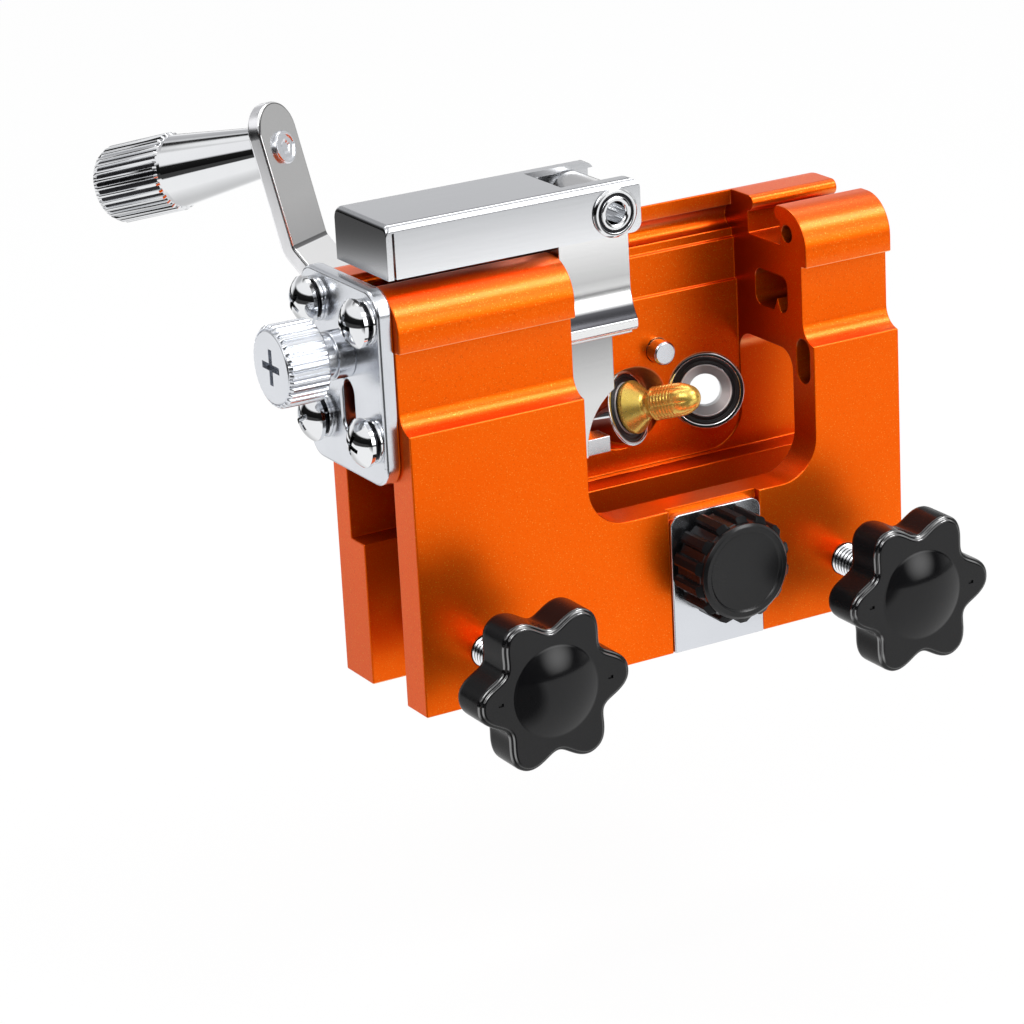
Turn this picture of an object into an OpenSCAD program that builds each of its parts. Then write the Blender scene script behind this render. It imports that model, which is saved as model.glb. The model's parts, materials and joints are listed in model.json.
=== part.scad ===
// Hand-cranked sharpening jig: an extruded housing with a clamping slot, a cranked
// grinding spindle in a tilted ball bearing, a feed-screw stop with a lift lever,
// two star-knob clamp screws and a sliding height gauge.
// Millimetres. Origin on the jaw face, midway between the two clamp screws:
// +X along the slot, +Y towards the crank side, +Z up.

/* [Housing] */
// Length of the extruded housing
body_l = 136; // [128:1:150]
// Thickness of the front wall
front_t = 9.5; // [8.5:0.5:12]
// Gap between the front wall and the jaw face
jaw_gap = 17; // [16:0.5:20]
// Thickness of the rear wall at the jaw
jaw_t = 13.5; // [12.5:0.5:16]
// Depth of the relief in the rear wall above the jaw
relief_d = 6.5; // [5:0.5:7]
// Height of the jaw above the bottom edge
jaw_h = 35.5; // [28:0.5:36]
// Height of the lower front face, up to the ridge
ridge_h = 69; // [66:0.5:71]
// Height of the concave flare above the ridge
flare_h = 5; // [3:0.5:6]
// Setback of the middle band behind the lower face
mid_set = 4.6; // [3:0.2:5]
// Height of the rounded shoulders, from the groove to the top
shoulder_h = 13.5; // [12.5:0.5:15.5]
// Overhang of the rounded shoulder over the middle band
lip_d = 2.2; // [1:0.2:3]
// Overall height of the housing
body_h = 101.5; // [99:0.5:112]
// Radius of the rounded shoulders
shoulder_r = 9.5; // [7:0.5:10]
// Extra thickness of the upper rear wall
rear_band = 3; // [1.5:0.5:4]
// Height at which the upper rear wall begins
rear_band_h = 58; // [50:1:62]

/* [Top slot and web] */
// Distance of the top slot's middle in front of the jaw face
slot_in = 6.05; // [5:0.05:7]
// Width of the top slot between the two lips
slot_w = 9.1; // [8:0.1:10]
// Radius of the rounded lips
lip_r = 2; // [1.5:0.1:2.2]
// Depth of the guide grooves beyond the lips
groove_in = 2.4; // [1:0.1:3]
// Depth of the slot's floor below the top
slot_d = 9.7; // [8.5:0.1:10]
// Height of the web's arched underside
arch_h = 65.7; // [64:0.1:66]
// Radius of the arch's corners
arch_r = 5; // [3:0.5:7]

/* [Window] */
// Distance of the window from the left end
win_x = 46.7; // [44:0.1:50]
// Width of the window
win_w = 64.4; // [62:0.1:68]
// Height of the window's lower edge
win_h = 36.3; // [36:0.1:40]
// Radius of the window's lower corners
win_r = 10; // [5:0.5:12]

/* [Bearings and spindle] */
// Distance between the two bearing centres
bearing_span = 22.2; // [21:0.1:24]
// Distance of the bearings' middle from the left end
bearing_x = 89.4; // [88:0.1:91]
// Height of the bearing centres
bearing_h = 52.2; // [51:0.1:53]
// Turn of each spindle axis in plan
yaw = 30; // [25:1:35]
// Upward tilt of each spindle axis
tilt = 15; // [10:1:20]
// Outer radius of the bearing rings
ring_r = 9.5; // [9:0.1:10]
// Length of the bearing rings
ring_l = 12; // [10:0.5:14]
// Outer radius of the guide sleeves
sleeve_r = 6.5; // [6:0.1:6.8]
// Radius of the spindle
spindle_r = 4; // [3.5:0.1:4.2]
// Radius of the burr's flange
flange_r = 6.6; // [6:0.1:8.5]
// Radius of the burr's cutting body
burr_r = 4.2; // [4:0.1:5.5]
// Length of the burr
burr_l = 20; // [17:0.5:24]

/* [Crank] */
// Distance of the crank arm behind the bearing's face
hub_back = 58; // [54:0.5:62]
// Radius from the spindle to the grip pin
crank_r = 81; // [74:1:86]
// Sideways joggle of the arm
joggle = 22.5; // [18:0.5:26]
// Width of the arm
arm_w = 16; // [14:0.5:18]
// Thickness of the arm
arm_t = 4; // [3:0.5:5]
// Length of the grip
grip_l = 52.5; // [46:0.5:58]
// Largest radius of the grip
grip_r = 10.2; // [9:0.1:12]
// Radius of the grip pin
grip_pin_r = 3; // [2.5:0.1:3.5]

/* [End plate] */
// Thickness of the end plate
plate_t = 4; // [3:0.5:5]
// Width of the end plate
plate_w = 38.5; // [38:0.5:40]
// Height of the end plate
plate_l = 47; // [45:0.5:48]
// Rise of the end plate above the housing's top
plate_up = 1; // [0:0.5:2]
// Distance of the front screws behind the front face
screw_in = 10.5; // [10:0.1:11]
// Spacing of the screws across the plate
screw_dy = 25; // [24:0.1:26]
// Distance of the upper screws below the housing's top
screw_down = 6.5; // [6:0.1:7]
// Vertical spacing of the screws
screw_dz = 28.5; // [28:0.1:29]
// Radius of the plate screws
screw_r = 2.1; // [1.8:0.1:2.3]

/* [Stop slide] */
// Distance of the feed screw below the housing's top
feed_down = 16.5; // [16.1:0.1:17]
// Distance of the feed screw behind the front face
feed_in = 22; // [21:0.1:23]
// Radius of the feed screw
feed_r = 4; // [3.5:0.1:4.2]
// Radius of the thumb head
thumb_r = 9.8; // [9:0.1:11]
// Length of the thumb head
thumb_l = 11; // [9:0.5:13]
// Length of the slide block
block_l = 19.3; // [19:0.1:21]
// Travel of the slide
slide_travel = 6; // [3:0.5:6]
// Height of the lift lever's pivot above the housing's top
pivot_up = 8.3; // [8:0.1:9]
// Distance of the lift lever's pivot from the left end
pivot_x = 61.3; // [61.2:0.1:62]
// Swing of the lift lever
lever_swing = 45; // [35:1:48]
// Distance from the pivot to the lift pin
lift_r = 10.5; // [10.3:0.1:10.7]
// Length of the lever to the left of its pivot
lever_l = 60.3; // [50:0.1:61]
// Width of the lever
lever_w = 25.2; // [24.8:0.1:26]
// Height of the lever
lever_h = 12.8; // [12.6:0.1:14]
// Gap between the housing's top and the lever
lever_gap = 2.7; // [2:0.1:3.2]
// Sheet thickness of the lever
sheet_t = 1.5; // [1.2:0.1:1.8]

/* [Clamps] */
// Height of the clamp screws above the bottom edge
clamp_h = 13; // [11:0.5:15]
// Distance of the clamp screws from the ends
clamp_in = 17; // [15:0.5:20]
// Radius of the clamp screws
clamp_r = 4; // [3:0.1:4.5]
// Radius over the star knob's lobes
star_r = 20; // [16:0.5:22]
// Height of the star knob
star_h = 11.5; // [10.5:0.5:14]
// Bare length of screw between the wall and the star knob
clamp_free = 20.5; // [17:0.5:22]
// Thickness gripped between the pads and the jaw at rest
grip_gap = 4.6; // [4.2:0.1:6]
// Radius of the clamp pads
pad_r = 7; // [6:0.5:9]
// Thickness of the clamp pads
pad_t = 4; // [3.6:0.1:5]

/* [Height gauge] */
// Distance of the gauge from the left end
gauge_x = 81.3; // [79:0.1:82]
// Width of the gauge plate
gauge_w = 25.6; // [24:0.1:27]
// Length of the gauge plate
gauge_l = 35; // [33:0.1:36]
// Thickness of the gauge plate
gauge_t = 2.5; // [2:0.1:3]
// Height of the gauge screw
gauge_h = 22; // [20.5:0.1:23]
// Radius of the gauge screw
gauge_r = 3; // [2.5:0.1:3.2]
// Radius over the gauge knob's ribs
gknob_r = 13.5; // [11:0.1:15]
// Height of the gauge knob
gknob_h = 11.8; // [9:0.1:12]

/* [Fits] */
// Radial clearance of everything that turns or slides
run = 0.05; // [0.03:0.01:0.08]
// Radial clearance of pressed and screwed pieces
seat = 0.02; // [0.01:0.01:0.03]
// Gap between faces that pass each other
pass = 0.3; // [0.2:0.05:0.4]

/* [Hidden] */
$fn = 96;
cut = 1;

orange = [0.94, 0.36, 0.02];
chrome = [0.80, 0.82, 0.84];
steel = [0.66, 0.67, 0.69];
gold = [0.83, 0.60, 0.16];
black = [0.04, 0.04, 0.045];

// Distances from the left end and heights above the bottom edge, in the part's frame
function from_left(d) = d - body_l / 2;
function up(h) = h - clamp_h;

// Planes of the housing's section
y_front = -(jaw_gap + front_t);
y_inner = -jaw_gap;
y_mid = y_front + mid_set;
y_bulge = y_mid - lip_d;
y_relief = relief_d;
y_mill = relief_d + 0.2;
mill_step = 0.8;
y_rear = jaw_t;
y_band = jaw_t + rear_band;
z_bot = up(0);
z_jaw = up(jaw_h);
z_ridge = up(ridge_h);
z_mid = up(ridge_h + flare_h);
z_top = up(body_h);
z_groove = z_top - shoulder_h;
z_floor = z_top - slot_d;
block_down = 22.5;
mill_down = 12;
z_mill = [z_top - block_down, z_top - mill_down];
z_arch = up(arch_h);
flare_r = (mid_set * mid_set + flare_h * flare_h) / (2 * mid_set);

// Top slot, its lips and the guide groove under them
y_slot = -slot_in;
y_lip_front = y_slot - slot_w / 2 - lip_r;
y_lip_rear = y_slot + slot_w / 2 + lip_r;
y_groove = [y_lip_front + lip_r - groove_in, y_lip_rear - lip_r + groove_in];
z_lip = z_top - lip_r;
z_under_lip = z_top - 2 * lip_r;
bead_r = (z_under_lip - z_floor) / 2;

// Window
x_win = from_left(win_x);
x_win_end = x_win + win_w;
z_win = up(win_h);

// Bearings
x_bearing = from_left(bearing_x);
y_bearing = relief_d - 0.5;
z_bearing = up(bearing_h);
race_r = ring_r - 1.1;
ball_r = (race_r - sleeve_r) / 2 - run / 2;
ball_n = 14;
boss_r = ring_r + 3.5;
shoulder_l = 2;
seal_t = 1.2;
sleeve_l = ring_l + shoulder_l + 1;
mouth_l = 4;
stud_r = spindle_r * 0.5;
stud_l = 6;
stop_pin_r = 3;
stop_pin_in = 5;
stop_pin_out = 4;
stop_pin_bevel = 0.4;

// Bends of the crank arm: their distances from the spindle, their radius and their flats
bend_y = [15, 56];
bend_r = 5;
bend_n = 8;

// End plate, its screws and the feed screw
x_left = from_left(0);
x_plate = x_left - plate_t;
plate_corner = 6;
plate_in = 4.5;
y_plate = [y_front + plate_in, y_front + plate_in + plate_w];
z_plate = [z_top + plate_up - plate_l, z_top + plate_up];
y_screws = [y_front + screw_in, y_front + screw_in + screw_dy];
z_screws = [z_top - screw_down - screw_dz, z_top - screw_down];
washer_t = 1.8;
washer_r = 5.4;
head_r = 5.8;
head_l = 4.2;
screw_l = 14;
y_feed = y_front + feed_in;
z_feed = z_top - feed_down;
barrel_r = feed_r + 1.5;
barrel_x = 22;
neck_r = 5.8;
neck_l = 8;
feed_end = barrel_x + slide_travel + 16;
port_w = 6;
port_gap = 2.3;
port_z = [z_arch + port_gap, z_feed - barrel_r - 1.2];

// Stop slide, lever and pawl
x_pivot = from_left(pivot_x);
z_pivot = z_top + pivot_up;
lift_pin_r = 1.8;
lift_angle = lever_swing / 2;
x_lift = x_pivot - lift_r * cos(lift_angle);
z_lift = z_pivot - lift_r * sin(lift_angle);
x_block = x_win + 0.5;
x_block_end = x_block + block_l;
block_set = 5.4;
block_rear = 2.7;
block_ridge = 2.9;
y_block = [y_mid + block_set, y_mill - block_rear];
y_block_ridge = y_block[0] - block_ridge;
z_block = [z_mill[0], z_lift - lift_pin_r - pass];
z_block_ridge = z_block[0] + 1.2;
skirt_t = 3;
skirt_in = 16;
skirt_up = 12.5;
y_skirt = y_front + skirt_in;
z_skirt = z_jaw + skirt_up;
rivet_r = 4;
rivet_flange_r = 6.1;
rivet_hole_r = 2.6;
barrel_lug_r = rivet_r + 2;
lug_half = 3.8;
lever_in = 7.3;
y_lever = y_front + lever_in;
y_lever_mid = y_lever + lever_w / 2;
lug_w = 15;
ear_l = 7.2;
z_lever = [z_top + lever_gap, z_top + lever_gap + lever_h];
x_lever = [x_pivot - lever_l, x_pivot + ear_l];
notch_w = lug_w + 2;
notch_l = 19;
seam_w = 0.4;
seam_top = 2.5;
x_stem = [x_pivot - lift_r - 2.4, x_pivot - barrel_lug_r - 0.4];
y_stem = [y_skirt + skirt_t + 1, y_skirt + skirt_t + 7];
yoke_h = 2 * lift_pin_r + 0.6;
x_yoke = x_lift + lift_pin_r + pass;
z_stem_top = z_lift + yoke_h / 2 + 1.6;
finger_t = 4;
z_finger = z_skirt - 1;
x_finger = x_block_end - 1.5;

// Clamps
x_clamps = [x_left + clamp_in, -x_left - clamp_in];
y_pad = -grip_gap - pad_t;
socket_r = clamp_r - 1;
socket_l = pad_t - 1;
y_star = y_front - clamp_free;
star_depth = 5;
star_turn = 1.5;
star_floor = 5;
star_edge = 2.4;
cap_r = star_r - star_depth - 3.8;
cap_rise = 2.3;
cap_h = cap_rise + 0.3;
cap_root = 1;

// Height gauge
x_gauge = from_left(gauge_x);
z_gauge = up(gauge_h);
channel_d = gauge_t - 0.5;
gauge_up = 10;
gauge_down = 4;
y_gauge_face = y_front - gauge_t + channel_d;
gwasher_t = 1.2;
gwasher_r = 8;
y_gwasher = y_gauge_face - run;
y_gknob = y_gwasher - gwasher_t - run;
gauge_bite = 7;

// A section drawn in Y and Z, extruded along X between two planes
module along_x(x0, x1) {
    translate([x0, 0, 0]) rotate([90, 0, 90]) linear_extrude(x1 - x0) children();
}

// An outline drawn in X and Z, extruded along Y between two planes
module along_y(y0, y1) {
    translate([0, y1, 0]) rotate([90, 0, 0]) linear_extrude(y1 - y0) children();
}

// A box between two corners
module box(low, high) {
    translate(low) cube(high - low);
}

// A rectangle between two corners
module rect(low, high) {
    translate(low) square(high - low);
}

// A rectangle with round corners, between two corners
module round_rect(low, high, r) {
    rect([low[0] + r, low[1]], [high[0] - r, high[1]]);
    rect([low[0], low[1] + r], [high[0], high[1] - r]);
    for (u = [low[0] + r, high[0] - r], v = [low[1] + r, high[1] - r]) translate([u, v]) circle(r);
}

// A straight slot with round ends, from one centre up to the other
module upright_slot(u, v0, v1, w) {
    rect([u - w / 2, v0], [u + w / 2, v1]);
    for (v = [v0, v1]) translate([u, v]) circle(w / 2);
}

// The local frame of a spindle: local Z along the axis towards the front, local Y up
module spindle_frame(side) {
    translate([x_bearing + side * bearing_span / 2, y_bearing, z_bearing])
        rotate([0, 0, -side * yaw]) rotate([90 - tilt, 0, 0]) children();
}

// Local Z turned to face the front of the part
module facing_front(x, y, z) {
    translate([x, y, z]) rotate([90, 0, 0]) children();
}

// Straight knurl: a toothed disc with flat-bottomed grooves
module knurl(r, n, depth) {
    step = 360 / n;
    ring = [[0.00, r], [0.55, r], [0.65, r - depth], [0.90, r - depth]];
    polygon([for (i = [0:n - 1], p = ring) p[1] * [cos((i + p[0]) * step), sin((i + p[0]) * step)]]);
}

// Six-lobed outline with soft valleys
module star(r, depth) {
    polygon([for (a = [0:3:357]) (r - depth * pow((1 - cos(6 * a)) / 2, 1.2)) * [cos(a), sin(a)]]);
}

// Housing section: walls, jaw, arched web, shoulders and the lipped top slot
module housing_section() {
    difference() {
        union() {
            rect([y_front, z_bot], [y_inner, z_mid]);
            rect([y_mid, z_arch - arch_r], [y_rear, z_groove]);
            rect([0, z_bot], [y_rear, z_jaw]);
            rect([y_relief, z_bot], [y_rear, z_arch]);
            polygon([[y_rear, up(rear_band_h)], [y_band, up(rear_band_h) + rear_band],
                [y_band, z_groove], [y_rear, z_groove]]);
            rect([y_bulge, z_groove], [y_band, z_top - shoulder_r]);
            rect([y_bulge + shoulder_r, z_groove], [y_band - shoulder_r, z_top]);
            for (y = [y_bulge + shoulder_r, y_band - shoulder_r])
                translate([y, z_top - shoulder_r]) circle(shoulder_r);
        }
        translate([y_mid - flare_r, z_mid]) circle(flare_r);
        rect([y_front - cut, z_mid], [y_mid, z_groove]);
        rect([y_inner, z_bot], [0, z_arch - arch_r]);
        rect([0, z_jaw], [y_relief, z_arch - arch_r]);
        rect([y_inner + arch_r, z_arch - arch_r - cut], [y_relief - arch_r, z_arch]);
        for (y = [y_inner + arch_r, y_relief - arch_r]) translate([y, z_arch - arch_r]) circle(arch_r);
        rect([y_lip_front, z_under_lip - cut], [y_lip_rear, z_top + cut]);
        rect([y_groove[0], z_floor], [y_groove[1], z_under_lip]);
    }
    for (y = [y_lip_front, y_lip_rear]) translate([y, z_lip]) circle(lip_r);
}

// Window outline with round lower corners, open at the top
module window_outline() {
    rect([x_win + win_r, z_win], [x_win_end - win_r, z_top + cut]);
    rect([x_win, z_win + win_r], [x_win_end, z_top + cut]);
    for (x = [x_win + win_r, x_win_end - win_r]) translate([x, z_win + win_r]) circle(win_r);
}

// Stepped back of the window, with a half-round groove, drawn in Y and Z
module window_ledges() {
    for (i = [0, 1]) rect([y_front, z_mill[i]], [y_mill + (i + 1) * mill_step, z_top + cut]);
    translate([y_mill + 2 * mill_step, z_floor + bead_r]) circle(bead_r);
}

// Ribbed port through the web to the right of the window
module web_port() {
    port_low = z_arch + 9;
    port_high = z_floor - 8;
    difference() {
        round_rect([y_inner + 1.5, port_low], [y_slot + 4.5, port_high], 2.5);
        polygon([[y_slot - 3, port_low - cut], [y_slot - 5, port_low + 3.2], [y_slot - 7, port_low - cut]]);
    }
}

module housing() {
    color(orange) difference() {
        union() {
            along_x(x_left, -x_left) housing_section();
            for (side = [-1, 1]) intersection() {
                spindle_frame(side) translate([0, 0, -ring_l - shoulder_l]) cylinder(r = boss_r, h = ring_l);
                box([x_left, y_relief + cut, z_jaw], [-x_left, y_band + 3 * ring_l, z_arch]);
            }
        }
        along_y(y_front - cut, y_mill) window_outline();
        along_x(x_win, x_win_end) window_ledges();
        along_x(x_win_end - cut, -x_left + cut) web_port();
        along_x(x_win_end - cut, -x_left + cut)
            upright_slot((y_front + y_inner) / 2, z_ridge - 7.5, z_ridge - 2, 5.6);
        for (side = [-1, 1]) spindle_frame(side) {
            translate([0, 0, -ring_l]) cylinder(r = ring_r + seat, h = ring_l + 2 * ring_r);
            translate([0, 0, -ring_l - shoulder_l - cut]) cylinder(r = sleeve_r + 1, h = ring_l);
        }
        translate([x_left - cut, y_feed, z_feed]) rotate([0, 90, 0])
            cylinder(r = barrel_r + run, h = win_x + 2 * cut);
        along_x(x_left - cut, x_left + barrel_x)
            upright_slot(y_feed, port_z[0] + port_w / 2, port_z[1] - port_w / 2, port_w);
        for (y = y_screws, z = z_screws) translate([x_left - cut, y, z]) rotate([0, 90, 0])
            cylinder(r = screw_r + seat, h = screw_l);
        translate([x_win_end - cut, y_screws[0], z_screws[1]]) rotate([0, 90, 0])
            cylinder(r = screw_r + seat, h = body_l);
        for (x = x_clamps) facing_front(x, y_inner + cut, 0)
            cylinder(r = clamp_r + run, h = front_t + 2 * cut);
        along_y(y_front - cut, y_front + channel_d)
            rect([x_gauge - gauge_w / 2 - run, z_bot - cut], [x_gauge + gauge_w / 2 + run, z_win + cut]);
        facing_front(x_gauge, y_front + channel_d + gauge_bite, z_gauge)
            cylinder(r = gauge_r + run, h = gauge_bite + channel_d + cut);
        stop_pin_place() translate([0, 0, -stop_pin_in])
            cylinder(r = stop_pin_r + seat, h = stop_pin_in + cut);
    }
}

module end_plate() {
    slot_low = port_z[0] - 2.5;
    color(chrome) difference() {
        along_x(x_plate, x_left)
            round_rect([y_plate[0], z_plate[0]], [y_plate[1], z_plate[1]], plate_corner);
        translate([x_plate - cut, y_feed, z_feed]) rotate([0, 90, 0])
            cylinder(r = feed_r + run, h = plate_t + 2 * cut);
        along_x(x_plate - cut, x_left + cut)
            upright_slot(y_feed, slot_low + port_w / 2, port_z[1] - port_w / 2, port_w);
        for (y = y_screws, z = z_screws) translate([x_plate - cut, y, z]) rotate([0, 90, 0])
            cylinder(r = screw_r + 0.2, h = plate_t + 2 * cut);
    }
}

// Places of the four end-plate screws, local Z pointing away from the housing
module screw_places() {
    for (y = y_screws, z = z_screws) translate([x_plate, y, z]) rotate([0, -90, 0]) children();
}

// Pan head with a domed top, as half a section turned about its axis
module pan_head(r, h) {
    dome = 1.25 * r;
    dome_z = h - dome;
    difference() {
        intersection() {
            cylinder(r = r, h = h);
            translate([0, 0, dome_z]) sphere(dome);
        }
        for (a = [0, 90]) rotate([0, 0, a]) translate([-r / 2, -0.6, h - 1.6]) cube([r, 1.2, 2]);
    }
}

module end_plate_screws() {
    color(chrome) screw_places() {
        translate([0, 0, washer_t]) pan_head(head_r, head_l);
        translate([0, 0, cut - plate_t - screw_l])
            cylinder(r = screw_r, h = plate_t + screw_l + washer_t - cut);
    }
}

module end_plate_washers() {
    color(steel) screw_places() difference() {
        union() {
            cylinder(r = washer_r, h = washer_t / 2);
            cylinder(r = washer_r - 0.8, h = washer_t);
        }
        translate([0, 0, -cut]) cylinder(r = screw_r + seat, h = washer_t + 2 * cut);
    }
}

// Dowel on the milled rear wall, above and between the bearings
module stop_pin_place() {
    translate([x_bearing - 2.2, y_mill, z_bearing + 12.9]) rotate([90, 0, 0]) children();
}

module stop_pin() {
    color(chrome) stop_pin_place() {
        translate([0, 0, -stop_pin_in])
            cylinder(r = stop_pin_r, h = stop_pin_in + stop_pin_out - stop_pin_bevel);
        translate([0, 0, stop_pin_out - stop_pin_bevel])
            cylinder(r1 = stop_pin_r, r2 = stop_pin_r - stop_pin_bevel, h = stop_pin_bevel);
    }
}

// Tube along local Z
module tube(r, bore, z0, z1) {
    translate([0, 0, z0]) difference() {
        cylinder(r = r, h = z1 - z0);
        translate([0, 0, -cut]) cylinder(r = bore, h = z1 - z0 + 2 * cut);
    }
}

module bearing_ring(side) {
    color(chrome) spindle_frame(side) tube(ring_r, race_r, -ring_l, 0);
}

module bearing_balls(side) {
    color(steel) spindle_frame(side) for (i = [0:ball_n - 1]) rotate([0, 0, i * 360 / ball_n])
        translate([(race_r + sleeve_r) / 2, 0, -ring_l / 2]) sphere(ball_r, $fn = 24);
}

module bearing_seals(side) {
    color(black) spindle_frame(side) for (z = [-ring_l + 0.2, -seal_t - 0.2])
        tube(race_r - seat, sleeve_r + run, z, z + seal_t);
}

// Guide sleeve with a conical mouth at the front
module sleeve(side) {
    bore = spindle_r + run;
    color(chrome) spindle_frame(side) difference() {
        translate([0, 0, -sleeve_l]) cylinder(r = sleeve_r, h = sleeve_l);
        translate([0, 0, -sleeve_l - cut]) cylinder(r = bore, h = sleeve_l + 2 * cut);
        translate([0, 0, -mouth_l]) cylinder(r1 = bore, r2 = sleeve_r - 0.4, h = mouth_l + 0.001);
    }
}

module spindle() {
    collar_l = 5;
    arm_front = -hub_back + arm_t / 2;
    thread_l = 9;
    color(steel) spindle_frame(-1) {
        translate([0, 0, arm_front]) cylinder(r = spindle_r, h = -arm_front);
        cylinder(r = stud_r, h = stud_l);
        translate([0, 0, arm_front]) cylinder(r = spindle_r + 2.5, h = collar_l);
        translate([0, 0, arm_front - arm_t - thread_l]) cylinder(r = spindle_r - 0.5, h = arm_t + thread_l);
    }
}

// Grinding head: conical flange, neck and an ogival cutting body
module burr() {
    neck_r = 0.72 * burr_r;
    body_z = 7.5;
    nose_l = 6;
    ogive = [for (a = [0:15:75]) [burr_r * cos(a), burr_l - nose_l + nose_l * sin(a)]];
    outline = concat([[0, pass], [flange_r - 0.4, pass], [flange_r, pass + 0.4], [flange_r, 1.7],
        [neck_r + 0.7, 5], [neck_r, 5.5], [neck_r, body_z - 1], [burr_r, body_z]], ogive, [[0, burr_l]]);
    color(gold) spindle_frame(-1) difference() {
        rotate_extrude() polygon(outline);
        translate([0, 0, -cut]) cylinder(r = stud_r + seat, h = stud_l + cut + pass);
    }
}

// Points on one side of a bend of the crank arm, between two angles measured from the upright
function arm_bend(centre, r, from, to) = [for (i = [0:bend_n])
    let (a = from + (to - from) * i / bend_n) centre + r * [sin(a), cos(a)]];

// Side view of the crank arm, drawn in local Y and Z: two flats joined by an inclined joggle
module arm_side() {
    half = arm_t / 2;
    lean = atan2(joggle, bend_y[1] - bend_y[0]);
    setback = bend_r * tan(lean / 2);
    first = [bend_y[0] - setback, -bend_r];
    second = [bend_y[1] + setback, bend_r - joggle];
    end_y = crank_r + arm_w;
    polygon(concat([[-arm_w, half]],
        arm_bend(first, bend_r + half, 0, lean), arm_bend(second, bend_r - half, 180 + lean, 180),
        [[end_y, half - joggle], [end_y, -half - joggle]],
        arm_bend(second, bend_r + half, 180, 180 + lean), arm_bend(first, bend_r - half, lean, 0),
        [[-arm_w, -half]]));
}

module crank_arm() {
    tip = 4;
    color(chrome) spindle_frame(-1) translate([0, 0, -hub_back]) difference() {
        intersection() {
            rotate([90, 0, 90]) linear_extrude(arm_w, center = true) arm_side();
            translate([0, 0, -joggle - arm_t]) linear_extrude(joggle + 2 * arm_t)
                upright_slot(0, 0, crank_r + tip, arm_w);
        }
        translate([0, 0, -arm_t]) cylinder(r = spindle_r - 0.5 + seat, h = 2 * arm_t);
        translate([0, crank_r, -joggle - arm_t]) cylinder(r = grip_pin_r + seat, h = 2 * arm_t);
    }
}

module crank_nut() {
    nut_r = 7.5;
    nut_l = 6.5;
    color(chrome) spindle_frame(-1) translate([0, 0, -hub_back - arm_t / 2 - nut_l]) difference() {
        cylinder(r = nut_r, h = nut_l, $fn = 6);
        translate([0, 0, -cut]) cylinder(r = spindle_r - 0.5 + seat, h = nut_l + 2 * cut);
    }
}

// Local frame of the grip: origin on the arm's outer face, local Z away from the arm
module grip_frame() {
    spindle_frame(-1) translate([0, crank_r, -hub_back - joggle - arm_t / 2]) rotate([180, 0, 0]) children();
}

module grip_pin() {
    pin_l = grip_l - 8;
    color(steel) grip_frame() {
        translate([0, 0, -arm_t]) cylinder(r = grip_pin_r, h = arm_t + pin_l);
        translate([0, 0, -arm_t]) mirror([0, 0, 1]) cylinder(r1 = 4.3, r2 = 3.4, h = 1.4);
    }
}

// Turned grip: a cone that opens into a knurled drum
module grip_handle() {
    knurl_l = 22;
    cone_end = grip_l - knurl_l;
    small_r = 0.61 * grip_r;
    color(chrome) grip_frame() difference() {
        union() {
            rotate_extrude() polygon([[0, pass], [small_r - 0.6, pass], [small_r, pass + 0.6],
                [grip_r - 0.8, cone_end - 2], [grip_r - 1, cone_end], [0, cone_end]]);
            translate([0, 0, cone_end]) linear_extrude(knurl_l - 3) knurl(grip_r, 30, 0.7);
            translate([0, 0, grip_l - 3]) cylinder(r1 = grip_r - 0.4, r2 = grip_r - 2.6, h = 3);
        }
        translate([0, 0, -cut]) cylinder(r = grip_pin_r + run, h = grip_l - 7 + cut);
    }
}

// Knurled thumbscrew with a cross recess; it turns in the end plate without moving along X
module feed_screw() {
    head_x = x_plate - run - neck_l;
    face_x = head_x - thumb_l;
    color(chrome) {
        translate([x_plate - run - neck_l, y_feed, z_feed]) rotate([0, 90, 0])
            cylinder(r = neck_r, h = neck_l);
        translate([x_plate - run, y_feed, z_feed]) rotate([0, 90, 0])
            cylinder(r = feed_r, h = feed_end + plate_t);
        difference() {
            union() {
                translate([face_x + 1, y_feed, z_feed]) rotate([0, 90, 0])
                    linear_extrude(thumb_l - 1) knurl(thumb_r, 32, 0.6);
                translate([face_x, y_feed, z_feed]) rotate([0, 90, 0])
                    cylinder(r1 = thumb_r - 1.4, r2 = thumb_r - 0.6, h = 1);
            }
            for (a = [0, 90]) translate([face_x, y_feed, z_feed]) rotate([a, 0, 0])
                box([-cut, -4.6, -1.1], [2.2, 4.6, 1.1]);
        }
    }
}

module feed_clip() {
    color(steel) translate([x_left, y_feed, z_feed]) rotate([0, 90, 0])
        tube(barrel_r - 0.3, feed_r + seat, 0.1, 1.6);
}

// Front outline of the slide block: flat, long concave flare, rounded ridge and undercut
module block_section() {
    dip_r = 14;
    ridge_r = 1.5;
    y0 = y_block_ridge;
    z_lip = z_block_ridge + 2 * ridge_r;
    z_dip = z_lip + sqrt(pow(dip_r, 2) - pow(dip_r - block_ridge, 2));
    difference() {
        union() {
            rect([y0, z_block_ridge + ridge_r], [y_block[1], z_dip]);
            rect([y0 + ridge_r, z_block_ridge], [y_block[1], z_dip]);
            rect([y_block[0], z_block[0]], [y_block[1], z_block[1]]);
            translate([y0 + ridge_r, z_block_ridge + ridge_r]) circle(ridge_r);
        }
        translate([y_block[0] - dip_r, z_dip]) circle(dip_r);
    }
}

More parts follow.
